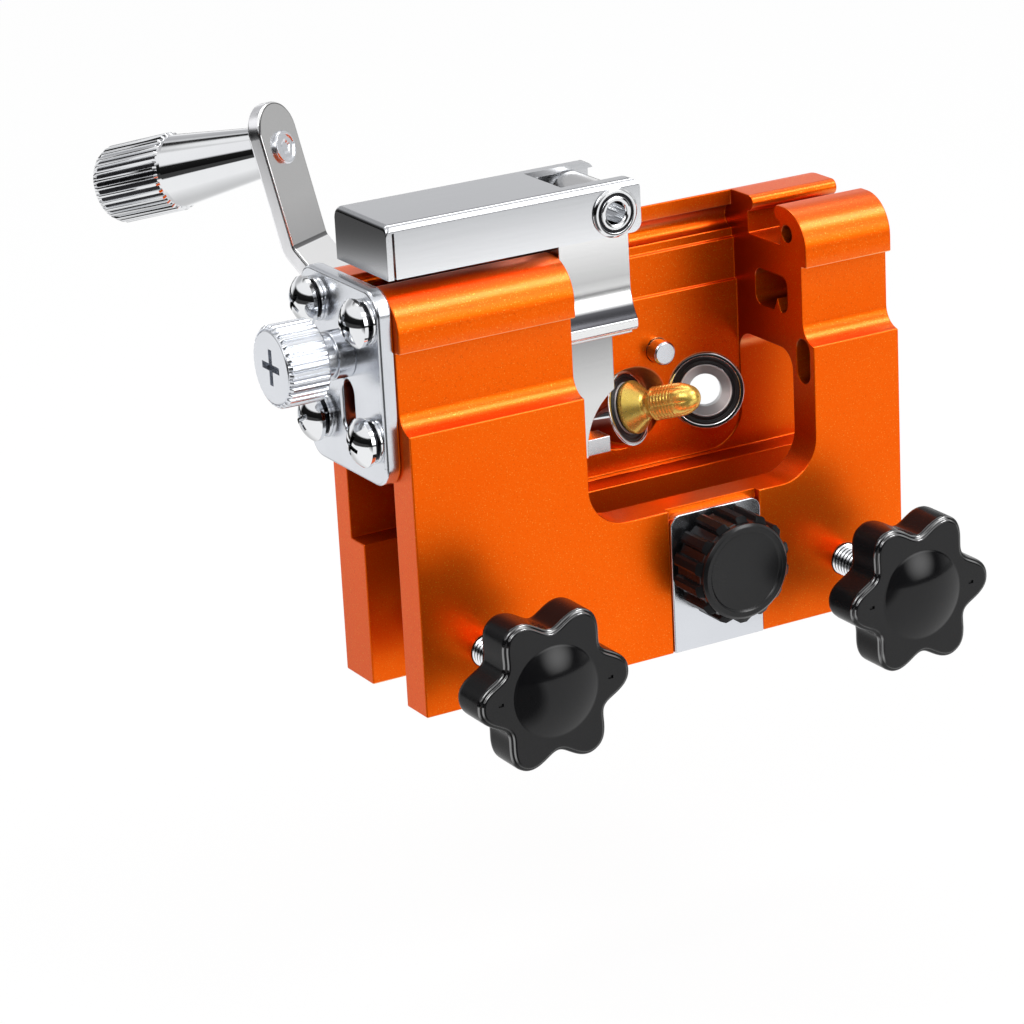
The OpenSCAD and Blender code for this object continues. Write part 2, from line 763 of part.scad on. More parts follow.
module slide_block() {
    wing_z = [z_floor + pass, z_under_lip - pass];
    wing_y = [y_groove[0] + pass, y_groove[1] - pass];
    bore = feed_r + run;
    skirt_cut_r = 16;
    color(chrome) difference() {
        union() {
            along_x(x_block, x_block_end) block_section();
            translate([x_left + barrel_x, y_feed, z_feed]) rotate([0, 90, 0])
                cylinder(r = barrel_r, h = win_x - barrel_x + 1);
            box([x_left + barrel_x, wing_y[0], wing_z[0]], [x_block + cut, wing_y[1], wing_z[1]]);
            along_y(y_skirt, y_skirt + skirt_t) difference() {
                rect([x_block, z_skirt], [x_block_end - 2, z_block[0] + cut]);
                translate([x_block_end + 6, z_skirt + 2]) circle(skirt_cut_r);
            }
            along_y(y_lever_mid - lug_w / 2, y_lever_mid + lug_w / 2) {
                rect([x_pivot - lug_half, z_block[1] - cut], [x_pivot + lug_half, z_pivot]);
                translate([x_pivot, z_pivot]) circle(barrel_lug_r);
            }
        }
        translate([x_left, y_feed, z_feed]) rotate([0, 90, 0])
            cylinder(r = bore, h = feed_end + pass);
        box([x_stem[0] - run, y_stem[0] - run, z_skirt],
            [x_stem[1] + run, y_stem[1] + run, z_block[1] + cut]);
        translate([x_pivot, y_lever_mid, z_pivot]) rotate([90, 0, 0])
            cylinder(r = rivet_r + run, h = lever_w, center = true);
    }
}

// Folded sheet lever, open below, closed by a flap at its left end and forked over the pivot
module lift_lever() {
    y0 = y_lever;
    y1 = y_lever + lever_w;
    ear_r = 2.5;
    color(chrome) difference() {
        intersection() {
            box([x_lever[0], y0, z_lever[0]], [x_lever[1], y1, z_lever[1]]);
            along_y(y0 - cut, y1 + cut) {
                rect([x_lever[0], z_lever[0]], [x_lever[1] - ear_r, z_lever[1]]);
                rect([x_lever[0], z_lever[0] + ear_r], [x_lever[1], z_lever[1] - ear_r]);
                for (z = [z_lever[0] + ear_r, z_lever[1] - ear_r])
                    translate([x_lever[1] - ear_r, z]) circle(ear_r);
            }
        }
        box([x_lever[0] + sheet_t, y0 + sheet_t, z_lever[0] - cut],
            [x_lever[1] + cut, y1 - sheet_t, z_lever[1] - sheet_t]);
        box([x_lever[0] + sheet_t, y0 - cut, z_lever[0] - cut],
            [x_lever[0] + sheet_t + seam_w, y1 + cut, z_lever[1] - seam_top]);
        box([x_lever[1] - notch_l, y_lever_mid - notch_w / 2, z_lever[1] - sheet_t - cut],
            [x_lever[1] + cut, y_lever_mid + notch_w / 2, z_lever[1] + cut]);
        translate([x_pivot, y_lever_mid, z_pivot]) rotate([90, 0, 0])
            cylinder(r = rivet_r + seat, h = 2 * lever_w, center = true);
        translate([x_lift, y_lever_mid, z_lift]) rotate([90, 0, 0])
            cylinder(r = lift_pin_r + seat, h = lever_w - sheet_t, center = true);
    }
}

// Hollow rivet with a flange on each ear
module lever_rivet() {
    flange_t = 0.9;
    color(steel) translate([x_pivot, y_lever_mid, z_pivot]) rotate([90, 0, 0]) difference() {
        union() {
            cylinder(r = rivet_r, h = lever_w, center = true);
            for (s = [-1, 1]) translate([0, 0, s * (lever_w + flange_t) / 2])
                cylinder(r = rivet_flange_r, h = flange_t, center = true);
        }
        cylinder(r = rivet_hole_r, h = 2 * lever_w, center = true);
    }
}

module lift_pin() {
    color(steel) translate([x_lift, y_lever_mid, z_lift]) rotate([90, 0, 0])
        cylinder(r = lift_pin_r, h = lever_w - sheet_t - 2 * seat, center = true);
}

// Stop pawl: a hooked stem in the slide block with a finger that reaches right
module stop_pawl() {
    color(steel) difference() {
        union() {
            box([x_stem[0], y_stem[0], z_finger], [x_stem[1], y_stem[1], z_stem_top]);
            box([x_stem[0], y_stem[0], z_finger], [x_finger, y_stem[1], z_finger + finger_t]);
        }
        box([x_stem[0] - cut, y_stem[0] - cut, z_lift - yoke_h / 2],
            [x_yoke, y_stem[1] + cut, z_lift + yoke_h / 2]);
    }
}

module clamp_pad(i) {
    color(steel) facing_front(x_clamps[i], -grip_gap, 0) difference() {
        cylinder(r = pad_r, h = pad_t);
        translate([0, 0, pad_t - socket_l]) cylinder(r = socket_r + run, h = socket_l + cut);
    }
}

module clamp_screw(i) {
    knob_bite = star_h - star_floor;
    color(steel) facing_front(x_clamps[i], y_pad, 0) {
        translate([0, 0, -socket_l + pass]) cylinder(r = socket_r, h = socket_l);
        translate([0, 0, pass]) cylinder(r = clamp_r, h = y_pad - y_star + knob_bite - pass);
    }
}

// Six-lobed knob with stepped round edges and a domed cap
module clamp_knob(i) {
    steps = [[0, 1.6], [star_edge / 3, 0.5], [star_edge, 0],
        [star_h - star_edge, 0.5], [star_h - star_edge / 3, 1.6]];
    ends = [for (k = [1:len(steps) - 1]) steps[k][0], star_h];
    ball_r = (cap_r * cap_r + cap_rise * cap_rise) / (2 * cap_rise);
    color(black) facing_front(x_clamps[i], y_star, 0) difference() {
        union() {
            for (k = [0:len(steps) - 1]) translate([0, 0, steps[k][0]])
                linear_extrude(ends[k] - steps[k][0])
                    rotate(star_turn) star(star_r - steps[k][1], star_depth);
            intersection() {
                translate([0, 0, star_h - cap_root]) cylinder(r = cap_r, h = cap_root + cap_h + cut);
                translate([0, 0, star_h + cap_h - ball_r]) sphere(ball_r);
            }
        }
        translate([0, 0, -cut]) cylinder(r = clamp_r + seat, h = star_h - star_floor + cut);
    }
}

module gauge_plate() {
    slot = [z_gauge - gauge_up, z_gauge + gauge_down];
    color(chrome) along_y(y_gauge_face, y_front + channel_d) difference() {
        union() {
            round_rect([x_gauge - gauge_w / 2, z_bot], [x_gauge + gauge_w / 2, z_bot + gauge_l], 3);
            rect([x_gauge - gauge_w / 2, z_bot], [x_gauge + gauge_w / 2, z_bot + gauge_l / 2]);
        }
        upright_slot(x_gauge, slot[0], slot[1], 2 * (gauge_r + 0.2));
    }
}

module gauge_washer() {
    color(steel) facing_front(x_gauge, y_gwasher, z_gauge) tube(gwasher_r, gauge_r + run, 0, gwasher_t);
}

module gauge_screw() {
    bite_l = gauge_bite + gauge_t - pass;
    color(steel) facing_front(x_gauge, y_gauge_face + bite_l, z_gauge)
        cylinder(r = gauge_r, h = y_gauge_face + bite_l - y_gknob + gknob_h - 4);
}

// Ribbed round knob with a recessed disc on its face
module gauge_knob() {
    face_l = 2;
    dish_r = gknob_r - 3.8;
    color(black) facing_front(x_gauge, y_gknob, z_gauge) difference() {
        union() {
            linear_extrude(gknob_h - face_l) knurl(gknob_r, 14, 1.3);
            translate([0, 0, gknob_h - face_l])
                cylinder(r1 = gknob_r - 1.4, r2 = gknob_r - 2.2, h = face_l);
        }
        translate([0, 0, gknob_h - 0.6]) cylinder(r = dish_r, h = 0.6 + cut);
        translate([0, 0, -cut]) cylinder(r = gauge_r + seat, h = gknob_h - 4 + cut);
    }
}

housing();
end_plate();
end_plate_screws();
end_plate_washers();
stop_pin();
bearing_ring(-1);  // bearing_ring_left
bearing_balls(-1);  // bearing_balls_left
bearing_seals(-1);  // bearing_seals_left
bearing_ring(1);  // bearing_ring_right
bearing_balls(1);  // bearing_balls_right
bearing_seals(1);  // bearing_seals_right
sleeve(-1);  // sleeve_left
sleeve(1);  // sleeve_right
spindle();
burr();
crank_arm();
crank_nut();
grip_pin();
grip_handle();
feed_screw();
feed_clip();
slide_block();
lift_lever();
lever_rivet();
lift_pin();
stop_pawl();
clamp_pad(0);  // clamp_pad_left
clamp_screw(0);  // clamp_screw_left
clamp_knob(0);  // clamp_knob_left
clamp_pad(1);  // clamp_pad_right
clamp_screw(1);  // clamp_screw_right
clamp_knob(1);  // clamp_knob_right
gauge_plate();
gauge_washer();
gauge_screw();
gauge_knob();
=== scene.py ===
"""Looks of a hand-cranked sharpening jig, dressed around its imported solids.

Local frames put Z along the axis of a joint, and profiles are (radius, height) in millimetres.
"""
import json
import math

import bmesh
import bpy
from mathutils import Matrix, Vector


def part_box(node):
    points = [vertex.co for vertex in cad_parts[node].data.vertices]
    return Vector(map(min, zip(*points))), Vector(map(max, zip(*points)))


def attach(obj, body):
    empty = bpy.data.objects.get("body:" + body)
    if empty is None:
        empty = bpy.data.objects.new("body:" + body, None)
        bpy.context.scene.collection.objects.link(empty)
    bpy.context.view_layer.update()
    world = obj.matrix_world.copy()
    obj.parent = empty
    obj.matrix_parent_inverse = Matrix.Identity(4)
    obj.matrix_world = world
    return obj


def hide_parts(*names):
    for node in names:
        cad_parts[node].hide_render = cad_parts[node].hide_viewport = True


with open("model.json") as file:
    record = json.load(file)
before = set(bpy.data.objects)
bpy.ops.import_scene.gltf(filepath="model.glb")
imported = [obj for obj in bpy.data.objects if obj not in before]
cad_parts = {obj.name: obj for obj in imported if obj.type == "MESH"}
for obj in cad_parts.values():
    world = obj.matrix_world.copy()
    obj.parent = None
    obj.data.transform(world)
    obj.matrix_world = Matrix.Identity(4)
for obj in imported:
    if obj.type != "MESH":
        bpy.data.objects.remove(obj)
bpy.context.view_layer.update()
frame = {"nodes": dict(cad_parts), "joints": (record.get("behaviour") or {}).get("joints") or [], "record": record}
scene = bpy.context.scene
MM = 0.001
STEPS = 96

BODY_OF = {n: body for body, nodes in frame["record"]["behaviour"]["bodies"].items() for n in nodes}
JOINTS = {j["name"]: j for j in frame["joints"]}
SIDES = ("left", "right")

# the height of a star knob and its place along the stud
STAR_H, STAR_Z = 11.5, 20.5


def axle(joint, flip=False):
    """The frame of a joint: Z along its axis, or against it, and Y as near to upright as it goes."""
    z = Vector(JOINTS[joint]["axis"]).normalized() * (-1 if flip else 1)
    rise = Vector((0, 0, 1))
    y = (rise - z * rise.dot(z)).normalized()
    turn = Matrix((y.cross(z), y, z)).transposed().to_4x4()
    return Matrix.Translation(JOINTS[joint]["pos_m"]) @ turn


# node graphs

class Value:
    """A socket of a node graph; arithmetic on it adds Math nodes."""

    def __init__(self, graph, socket):
        self.graph, self.socket = graph, socket

    def maths(self, operation, a, b=0.0):
        return self.graph.add("ShaderNodeMath", {"operation": operation}, {0: a, 1: b})

    def __add__(self, other):
        return self.maths("ADD", self, other)

    __radd__ = __add__

    def __sub__(self, other):
        return self.maths("SUBTRACT", self, other)

    def __rsub__(self, other):
        return self.maths("SUBTRACT", other, self)

    def __mul__(self, other):
        return self.maths("MULTIPLY", self, other)

    __rmul__ = __mul__

    def __truediv__(self, other):
        return self.maths("DIVIDE", self, other)

    def __pow__(self, other):
        return self.maths("POWER", self, other)

    def cosine(self):
        return self.maths("COSINE", self)

    def lesser(self, other):
        return self.maths("MINIMUM", self, other)

    def bearing(self, other):
        """The angle whose sine goes with this value and whose cosine goes with the other."""
        return self.maths("ARCTAN2", self, other)

    def clipped(self):
        """The same value held between 0 and 1."""
        return self.graph.add("ShaderNodeClamp", inputs={"Value": self})


class Graph:
    """Adds nodes to a tree, each in one call."""

    def __init__(self, tree):
        self.tree = tree
        tree.nodes.clear()

    def node(self, kind, settings=None, inputs=None):
        made = self.tree.nodes.new(kind)
        for name, value in (settings or {}).items():
            if name == "stops":
                ramp = made.color_ramp
                while len(ramp.elements) < len(value):
                    ramp.elements.new(0.5)
                for stop, (at, colour) in zip(ramp.elements, value):
                    stop.position, stop.color = at, (*colour, 1.0)
            else:
                setattr(made, name, value)
        for key, value in (inputs or {}).items():
            if isinstance(value, Value):
                self.tree.links.new(value.socket, made.inputs[key])
            else:
                made.inputs[key].default_value = value
        return made

    def add(self, kind, settings=None, inputs=None, out=0):
        return Value(self, self.node(kind, settings, inputs).outputs[out])

    def coords(self):
        return self.add("ShaderNodeTexCoord", out="Object")

    def parts(self, vector):
        """The X, Y and Z of a vector."""
        split = self.node("ShaderNodeSeparateXYZ", inputs={0: vector})
        return [Value(self, split.outputs[way]) for way in "XYZ"]

    def facing(self):
        """The surface normal."""
        return self.add("ShaderNodeTexCoord", out="Normal")

    def vectors(self, operation, a, b=(0.0, 0.0, 0.0), out=0):
        return self.add("ShaderNodeVectorMath", {"operation": operation}, {0: a, 1: b}, out)

    def along(self, vector, way):
        """How far a vector reaches along a direction."""
        return self.vectors("DOT_PRODUCT", vector, way, "Value")

    def apart(self, at, point):
        """The way to a place from a fixed point."""
        return self.vectors("SUBTRACT", at, point)

    def length(self, vector):
        return self.vectors("LENGTH", vector, out="Value")

    def stretch(self, at, scale):
        return self.vectors("MULTIPLY", at, scale)

    def ramp(self, share, stops):
        """A colour from (place, tone) stops, where a tone is a grey or a colour."""
        tones = [(at, tone if isinstance(tone, tuple) else (tone,) * 3) for at, tone in stops]
        return self.add("ShaderNodeValToRGB", {"stops": tones}, {0: share})

    def noise(self, at, scale, detail=2.0, rough=0.5):
        return self.add("ShaderNodeTexNoise", inputs={"Vector": at, "Scale": scale, "Detail": detail,
                                                      "Roughness": rough})

    def blend(self, share, first, second):
        """A colour between two others."""
        ends = [c if isinstance(c, Value) else (*c, 1.0) for c in (first, second)]
        return self.add("ShaderNodeMix", {"data_type": "RGBA"}, {0: share, 6: ends[0], 7: ends[1]}, out=2)

    def bump(self, height, strength, depth):
        return self.add("ShaderNodeBump", inputs={"Height": height, "Strength": strength, "Distance": depth})


def surface(name, constants, recipe):
    """A material: constants sit on the shader's sockets, and the recipe links what varies."""
    material = bpy.data.materials.new(name)
    material.use_nodes = True
    graph = Graph(material.node_tree)
    shader = graph.node("ShaderNodeBsdfPrincipled", inputs={**constants, **recipe(graph, graph.coords())})
    graph.node("ShaderNodeOutputMaterial", inputs={"Surface": Value(graph, shader.outputs[0])})
    return material


# finishes

def anodised_recipe(graph, at):
    """Blasted dye with painted glints, painted shade in the recesses and on faces turned to -X, a painted
    highlight on the lower lips, and a glossy coat on the shoulders.
    """
    blast = graph.noise(at, 1900.0, 3.0, 0.7)
    cloud = graph.noise(at, 45.0, 3.0)
    # painted glints: random bright yellowish specks in the dye
    glint = ((graph.noise(at, 3100.0, 1.0) - 0.62) * 9.0).clipped()
    pit = ((0.40 - graph.noise(at, 2300.0, 1.0)) * 6.0).clipped()
    dye = graph.blend(cloud, (0.96, 0.112, 0.001), (1.0, 0.140, 0.002))
    worked = graph.blend(pit * 0.4, dye, (0.66, 0.045, 0.001))
    bright = graph.blend(glint * 0.6, worked, (1.0, 0.40, 0.06))
    open_sky = graph.add("ShaderNodeAmbientOcclusion", {"samples": 6, "only_local": True},
                         {"Distance": 0.03}, out="AO")
    aside, front, top = graph.parts(graph.facing())
    ahead = (front * -1.0).clipped()
    ends = ((aside * -1.0 - 0.6) * 4.0).clipped() * 0.65
    # painted shade: darker where occlusion is high, more on faces that do not face front, and on faces turned to
    # -X
    painted_recess_shade = (((1.0 - open_sky) * 1.5 - 0.2) * (2.2 - ahead * 2.0) + ends).clipped()
    # painted highlight: pale on the rounded lower lips that face down and to the front
    lip_highlight = (top * -3.0).clipped() * (ahead * 3.0).clipped() * ((open_sky - 0.45) * 3.0).clipped()
    shaded_dye = graph.blend(painted_recess_shade, bright, (0.24, 0.016, 0.0005))
    return {
        "Base Color": graph.blend(lip_highlight * 0.8, shaded_dye, (1.0, 0.52, 0.22)),
        "Coat Weight": ((top - 0.2) * 2.5).clipped() * (ahead * 3.0).clipped() * (open_sky ** 3.0) * 0.38,
        "Roughness": 0.23 + blast * 0.14 + cloud * 0.05,
        "Normal": graph.bump(blast, 0.55, 0.00006),
    }


def mirror_recipe(graph, at):
    """Polished chrome under a thin film."""
    film = graph.noise(at, 70.0, 3.0)
    swirl = graph.noise(graph.stretch(at, (900.0, 300.0, 900.0)), 2.0, 2.0)
    return {
        "Base Color": graph.blend(film, (0.76, 0.77, 0.79), (0.88, 0.89, 0.90)),
        "Roughness": 0.03 + film * 0.04 + swirl * 0.02,
        "Normal": graph.bump(film, 0.05, 0.0002),
    }


def plated_recipe(graph, at):
    """Satin plating with a fine grain."""
    film = graph.noise(at, 55.0, 3.0)
    grain = graph.noise(at, 1500.0, 2.0)
    return {
        "Base Color": graph.blend(film, (0.66, 0.68, 0.72), (0.78, 0.80, 0.84)),
        "Roughness": 0.17 + grain * 0.06 + film * 0.05,
        "Normal": graph.bump(grain, 0.015, 0.00002),
    }


def brushed_recipe(graph, at):
    """Brushed strip of the crank arm, with a painted reflection set by which way it faces: grey on its flats, dark
    in the bend, bright on the slope and pale where it faces along the axis, and painted shade on its flats below a
    height.
    """
    brush = graph.noise(graph.stretch(at, (700.0, 700.0, 60.0)), 1.0, 3.0)
    # painted shade: the flats darken below this height above the spindle's axis
    shade_top, shade_fade = 0.068, 0.012
    place = axle("crank_spin")
    up, axis = place.to_3x3().col[1], place.to_3x3().col[2]
    rise = graph.along(graph.facing(), up)
    # painted reflection: a grey set by how far the surface faces up, dark in the bend and bright on the slope;
    # faces towards the axis are painted pale
    painted_reflection = graph.ramp(rise, [
        (0.0, 0.61), (0.03, 0.58), (0.08, 0.10), (0.36, 0.08), (0.44, 0.97), (1.0, 0.98)])
    reach = graph.along(at, up) - place.translation.dot(up)
    painted_shading = ((shade_top - reach) / shade_fade).clipped()
    flat = graph.blend(painted_shading * 0.35, painted_reflection, (0.30, 0.30, 0.31))
    slope = ((rise - 0.36) * 12.0).clipped()
    face = (graph.along(graph.facing(), axis) * 2.0).clipped()
    return {
        "Base Color": graph.blend(face, (0.93, 0.93, 0.95), graph.blend(slope, flat, painted_reflection)),
        "Roughness": 0.16 + brush * 0.10,
        "Normal": graph.bump(brush, 0.04, 0.00002),
    }


def folded_recipe(graph, at):
    """Satin sheet of the lever with painted reflections: brighter towards its lower edge, and near black to pale
    grey across the end flap.
    """
    brush = graph.noise(graph.stretch(at, (30.0, 1500.0, 1500.0)), 1.0, 3.0)
    low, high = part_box("lift_lever")
    _, y, z = graph.parts(at)
    fall = ((high.z - z) / (high.z - low.z)).clipped()
    depth = ((high.y - y) / (high.y - low.y)).clipped()
    flap = ((graph.parts(graph.facing())[0] * -1.0 - 0.7) * 5.0).clipped()
    # painted reflection: darker at the top and brighter towards the lower edge, and near black to pale grey across
    # the end flap
    sheet = graph.blend(fall, (0.56, 0.57, 0.59), (0.90, 0.91, 0.93))
    grade = ((fall * 0.8 + depth * 0.25) ** 3.8).clipped()
    painted_shading = graph.blend(grade, (0.004, 0.004, 0.005), (0.66, 0.67, 0.69))
    return {
        "Base Color": graph.blend(flap, sheet, painted_shading),
        "Roughness": 0.15 + brush * 0.10,
        "Normal": graph.bump(brush, 0.05, 0.00002),
    }


def satin_recipe(graph, at):
    """Drawn stop slide with painted reflections: grey to bright bands by height on its flats, and near black on
    the flaring band that faces up and to the front.
    """
    brush = graph.noise(graph.stretch(at, (30.0, 1500.0, 1500.0)), 1.0, 3.0)
    film = graph.noise(at, 40.0, 2.0)
    low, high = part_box("slide_block")
    height = ((graph.parts(at)[2] - low.z) / (high.z - low.z)).clipped()
    front, top = graph.parts(graph.facing())[1:]
    # painted reflection: near black on the band that faces up and to the front, and grey to bright bands by height
    # on the flats
    dark_flare_reflection = ((top - 0.26) * 7.0).clipped() * (front * -4.0).clipped()
    flats = graph.ramp(height, [
        (0.0, 0.74), (0.22, 0.72), (0.35, 0.52), (0.45, 0.34), (0.465, 0.80), (0.53, 0.92), (0.62, 0.80),
        (0.67, 0.58), (0.74, 0.74), (0.81, 0.92), (1.0, 0.80)])
    return {
        "Base Color": graph.blend(dark_flare_reflection, flats, (0.05, 0.05, 0.055)),
        "Roughness": 0.13 + brush * 0.09 + film * 0.04,
        "Normal": graph.bump(brush, 0.06, 0.00002),
    }


def zinc_recipe(graph, at):
    """Zinc on the inner hardware, with a crystal grain."""
    crystal = graph.noise(at, 900.0, 3.0)
    return {
        "Base Color": graph.blend(crystal, (0.58, 0.59, 0.61), (0.74, 0.75, 0.77)),
        "Roughness": 0.14 + crystal * 0.16,
        "Normal": graph.bump(crystal, 0.10, 0.00002),
    }


def gold_recipe(graph, at):
    """Gritty gold coat of the burr, paler where it is worn."""
    grit = graph.noise(at, 2600.0, 3.0)
    wear = graph.noise(at, 220.0, 3.0)
    return {
        "Base Color": graph.blend(wear, (0.74, 0.50, 0.08), (0.92, 0.69, 0.18)),
        "Roughness": 0.21 + grit * 0.16,
        "Normal": graph.bump(grit, 0.12, 0.00003),
    }


def blackened_and_shade_recipe(graph, at):
    """Dark scale on the spring washers, and painted shade on the grip's grooves and in the eyelet's grooves."""
    scale = graph.noise(at, 1300.0, 3.0)
    return {
        "Base Color": graph.blend(scale, (0.012, 0.012, 0.014), (0.05, 0.05, 0.055)),
        "Roughness": 0.25 + scale * 0.2,
        "Normal": graph.bump(scale, 0.10, 0.00002),
    }


def fanned_recipe(graph, at):
    """Turned face with a painted reflection: light and dark sectors and spokes about the bearing's axis."""
    place = axle("right_sleeve_spin")
    across, up = place.to_3x3().col[0], place.to_3x3().col[1]
    out = graph.apart(at, place.translation)
    turn = graph.along(out, up).bearing(graph.along(out, across))
    # painted reflection: a fan of light and dark sectors with fainter spokes
    painted_sector = (turn * 2.0 + 0.9).cosine() * 0.5 + 0.5
    painted_spoke = (turn * 5.0 + 2.0).cosine() * 0.12
    return {
        "Base Color": graph.blend((painted_sector ** 2.0 + painted_spoke).clipped(), (0.40, 0.40, 0.41), (1.0, 1.0, 1.0)),
        "Roughness": 0.34 + graph.noise(at, 900.0) * 0.1,
    }


def studded_recipe(graph, at):
    """Steel crests over roots painted near black as shade, on the threads of the two clamp studs."""
    root_r, crest_h = 0.0036, 0.00014
    reaches = []
    for side in SIDES:
        out = graph.apart(at, JOINTS[f"clamp_{side}_spin"]["pos_m"])
        reaches.append(graph.length(graph.stretch(out, (1.0, 0.0, 1.0))))
    # painted shade: the roots of the thread are near black and the crests keep the steel's grey
    crest = ((reaches[0].lesser(reaches[1]) - root_r) / crest_h).clipped()
    return {
        "Base Color": graph.blend(crest, (0.02, 0.02, 0.022), (0.86, 0.87, 0.89)),
        "Roughness": 0.12 + graph.noise(at, 900.0, 3.0) * 0.12,
    }


def rubber_recipe(graph, at):
    """Dusty seal rubber."""
    dust = graph.noise(at, 700.0, 3.0)
    return {
        "Base Color": graph.blend(dust, (0.006, 0.006, 0.007), (0.022, 0.022, 0.024)),
        "Roughness": 0.22 + dust * 0.2,
        "Normal": graph.bump(dust, 0.10, 0.00003),
    }


def moulded_recipe(graph, at):
    """Moulded black of the star knobs, with a rim about the face that is glossy at its upper left."""
    rim_top, rim_depth = 0.05, 1.3
    flow = graph.noise(at, 60.0, 3.0)
    pore = graph.noise(at, 2400.0, 2.0)
    height = (JOINTS["clamp_left_spin"]["pos_m"][1] - graph.parts(at)[1]) / MM - STAR_Z
    rim = ((STAR_H - rim_top - height) * 10.0).clipped() * ((height - STAR_H + rim_depth) * 10.0).clipped()
    aside, _, top = graph.parts(graph.facing())
    upper_left = top * 0.8 - aside * 0.6
    lit = ((upper_left - 0.12) * 4.0).clipped() * ((0.9 - upper_left) * 4.0).clipped()
    return {
        "Base Color": graph.blend(flow, (0.003, 0.003, 0.0035), (0.008, 0.008, 0.0085)),
        "Coat Weight": rim * lit,
        "Roughness": 0.07 + flow * 0.04 + pore * 0.03,
        "Normal": graph.bump(pore, 0.03, 0.00003),
    }


def matt_moulded_recipe(graph, at):
    """Moulded black with a duller skin."""
    pore = graph.noise(at, 2800.0, 2.0)
    flow = graph.noise(at, 90.0, 2.0)
    return {
        "Base Color": graph.blend(flow, (0.004, 0.004, 0.0045), (0.009, 0.009, 0.0095)),
        "Roughness": 0.16 + pore * 0.12 + flow * 0.05,
        "Normal": graph.bump(pore, 0.08, 0.00003),
    }


METAL = {"Metallic": 1.0}
ORANGE = surface("anodised_orange", {"Metallic": 0.84, "Specular IOR Level": 0.1, "Coat Roughness": 0.22},
                 anodised_recipe)
CHROME = surface("polished_chrome", METAL, mirror_recipe)
PLATED = surface("plated_chrome", METAL, plated_recipe)
BRUSHED = surface("brushed_chrome", METAL, brushed_recipe)
SATIN = surface("satin_chrome", METAL, satin_recipe)
FOLDED = surface("folded_chrome", METAL, folded_recipe)
FANNED = surface("turned_steel", {"Metallic": 0.4}, fanned_recipe)
BLACKENED_AND_SHADE = surface("blackened_steel", METAL, blackened_and_shade_recipe)
ZINC = surface("zinc_steel", METAL, zinc_recipe)
STUDDED = surface("threaded_steel", METAL, studded_recipe)
GOLD = surface("gold_coat", {"Metallic": 0.75}, gold_recipe)
RUBBER = surface("seal_rubber", {"Specular IOR Level": 0.5}, rubber_recipe)
BLACK = surface("moulded_black", {"IOR": 1.37, "Coat IOR": 2.6, "Coat Roughness": 0.06}, moulded_recipe)
DULL_BLACK = surface("moulded_sides", {"IOR": 1.18}, matt_moulded_recipe)
MATT_BLACK = surface("ribbed_black", {"IOR": 1.38}, matt_moulded_recipe)


# shapes

SMOOTH_TO, EDGE_ANGLE, SAME_PLANE = 32.0, math.radians(28), math.radians(0.4)


def rounded(corners, bits=4):
    """Profile points, with each (radius, height, fillet) corner rounded."""
    points = []
    for i, corner in enumerate(corners):
        at, size = Vector(corner[:2]), (corner[2] if len(corner) > 2 else 0)
        if not size or i in (0, len(corners) - 1):
            points.append(at)
            continue
        back, ahead = Vector(corners[i - 1][:2]) - at, Vector(corners[i + 1][:2]) - at
        cut = min(size / math.tan(back.angle(ahead) / 2), 0.49 * back.length, 0.49 * ahead.length)
        start, end = at + back.normalized() * cut, at + ahead.normalized() * cut
        for k in range(bits + 1):
            t = k / bits
            points.append(start * (1 - t) ** 2 + at * (2 * t * (1 - t)) + end * t * t)
    return points


def bridge(bm, a, b):
    """Faces between two closed rings; a ring of one vertex is a pole."""
    count = max(len(a), len(b))
    for i in range(count):
        corners = []
        for ring, k in ((a, i), (a, i + 1), (b, i + 1), (b, i)):
            vert = ring[k % len(ring)]
            if vert not in corners:
                corners.append(vert)
        if len(corners) > 2:
            bm.faces.new(corners)


def turned(profile, closed=False, steps=STEPS, wave=None):
    """A shape turned about Z; wave(angle, radius, height) may change the radius."""
    bm = bmesh.new()
    rings = []
    for r, z in profile:
        if r < 1e-6:
            rings.append([bm.verts.new((0, 0, z))])
            continue
        ring = []
        for k in range(steps):
            a = 2 * math.pi * k / steps
            reach = wave(a, r, z) if wave else r
            ring.append(bm.verts.new((reach * math.cos(a), reach * math.sin(a), z)))
        rings.append(ring)
    for a, b in zip(rings, rings[1:] + (rings[:1] if closed else [])):
        if a is not b:
            bridge(bm, a, b)
    return bm


def skin(sections, caps=True):
    """A loft through closed sections of equal count, with flat ends."""
    bm = bmesh.new()
    rings = [[bm.verts.new(p) for p in section] for section in sections]
    for a, b in zip(rings, rings[1:]):
        bridge(bm, a, b)
    if caps:
        bm.faces.new(rings[0])
        bm.faces.new(rings[-1])
    return bm


def bar(low, high, taper=0.0):
    """A block between two corners whose lower end is narrower by the taper."""
    ends = []
    for z, inset in ((low[2], taper), (high[2], 0.0)):
        ends.append([(low[0] + inset, low[1] + inset, z), (high[0] - inset, low[1] + inset, z),
                     (high[0] - inset, high[1] - inset, z), (low[0] + inset, high[1] - inset, z)])
    return skin(ends)


def prism(outline, y0, y1):
    """An (x, z) outline drawn out along Y."""
    return skin([[(x, y, z) for x, z in outline] for y in (y0, y1)])


def arc(centre, radius, start, end, bits=10):
    """Points on a circle, angles in degrees."""
    return [(centre[0] + radius * math.cos(a), centre[1] + radius * math.sin(a))
            for a in (math.radians(start + (end - start) * k / bits) for k in range(bits + 1))]


def merged(*shapes):
    """One shape from several."""
    whole = bmesh.new()
    for shape in shapes:
        mesh = shape
        if isinstance(shape, bmesh.types.BMesh):
            mesh = bpy.data.meshes.new("part")
            outward(shape)
            shape.to_mesh(mesh)
            shape.free()
        whole.from_mesh(mesh)
        bpy.data.meshes.remove(mesh)
    return whole


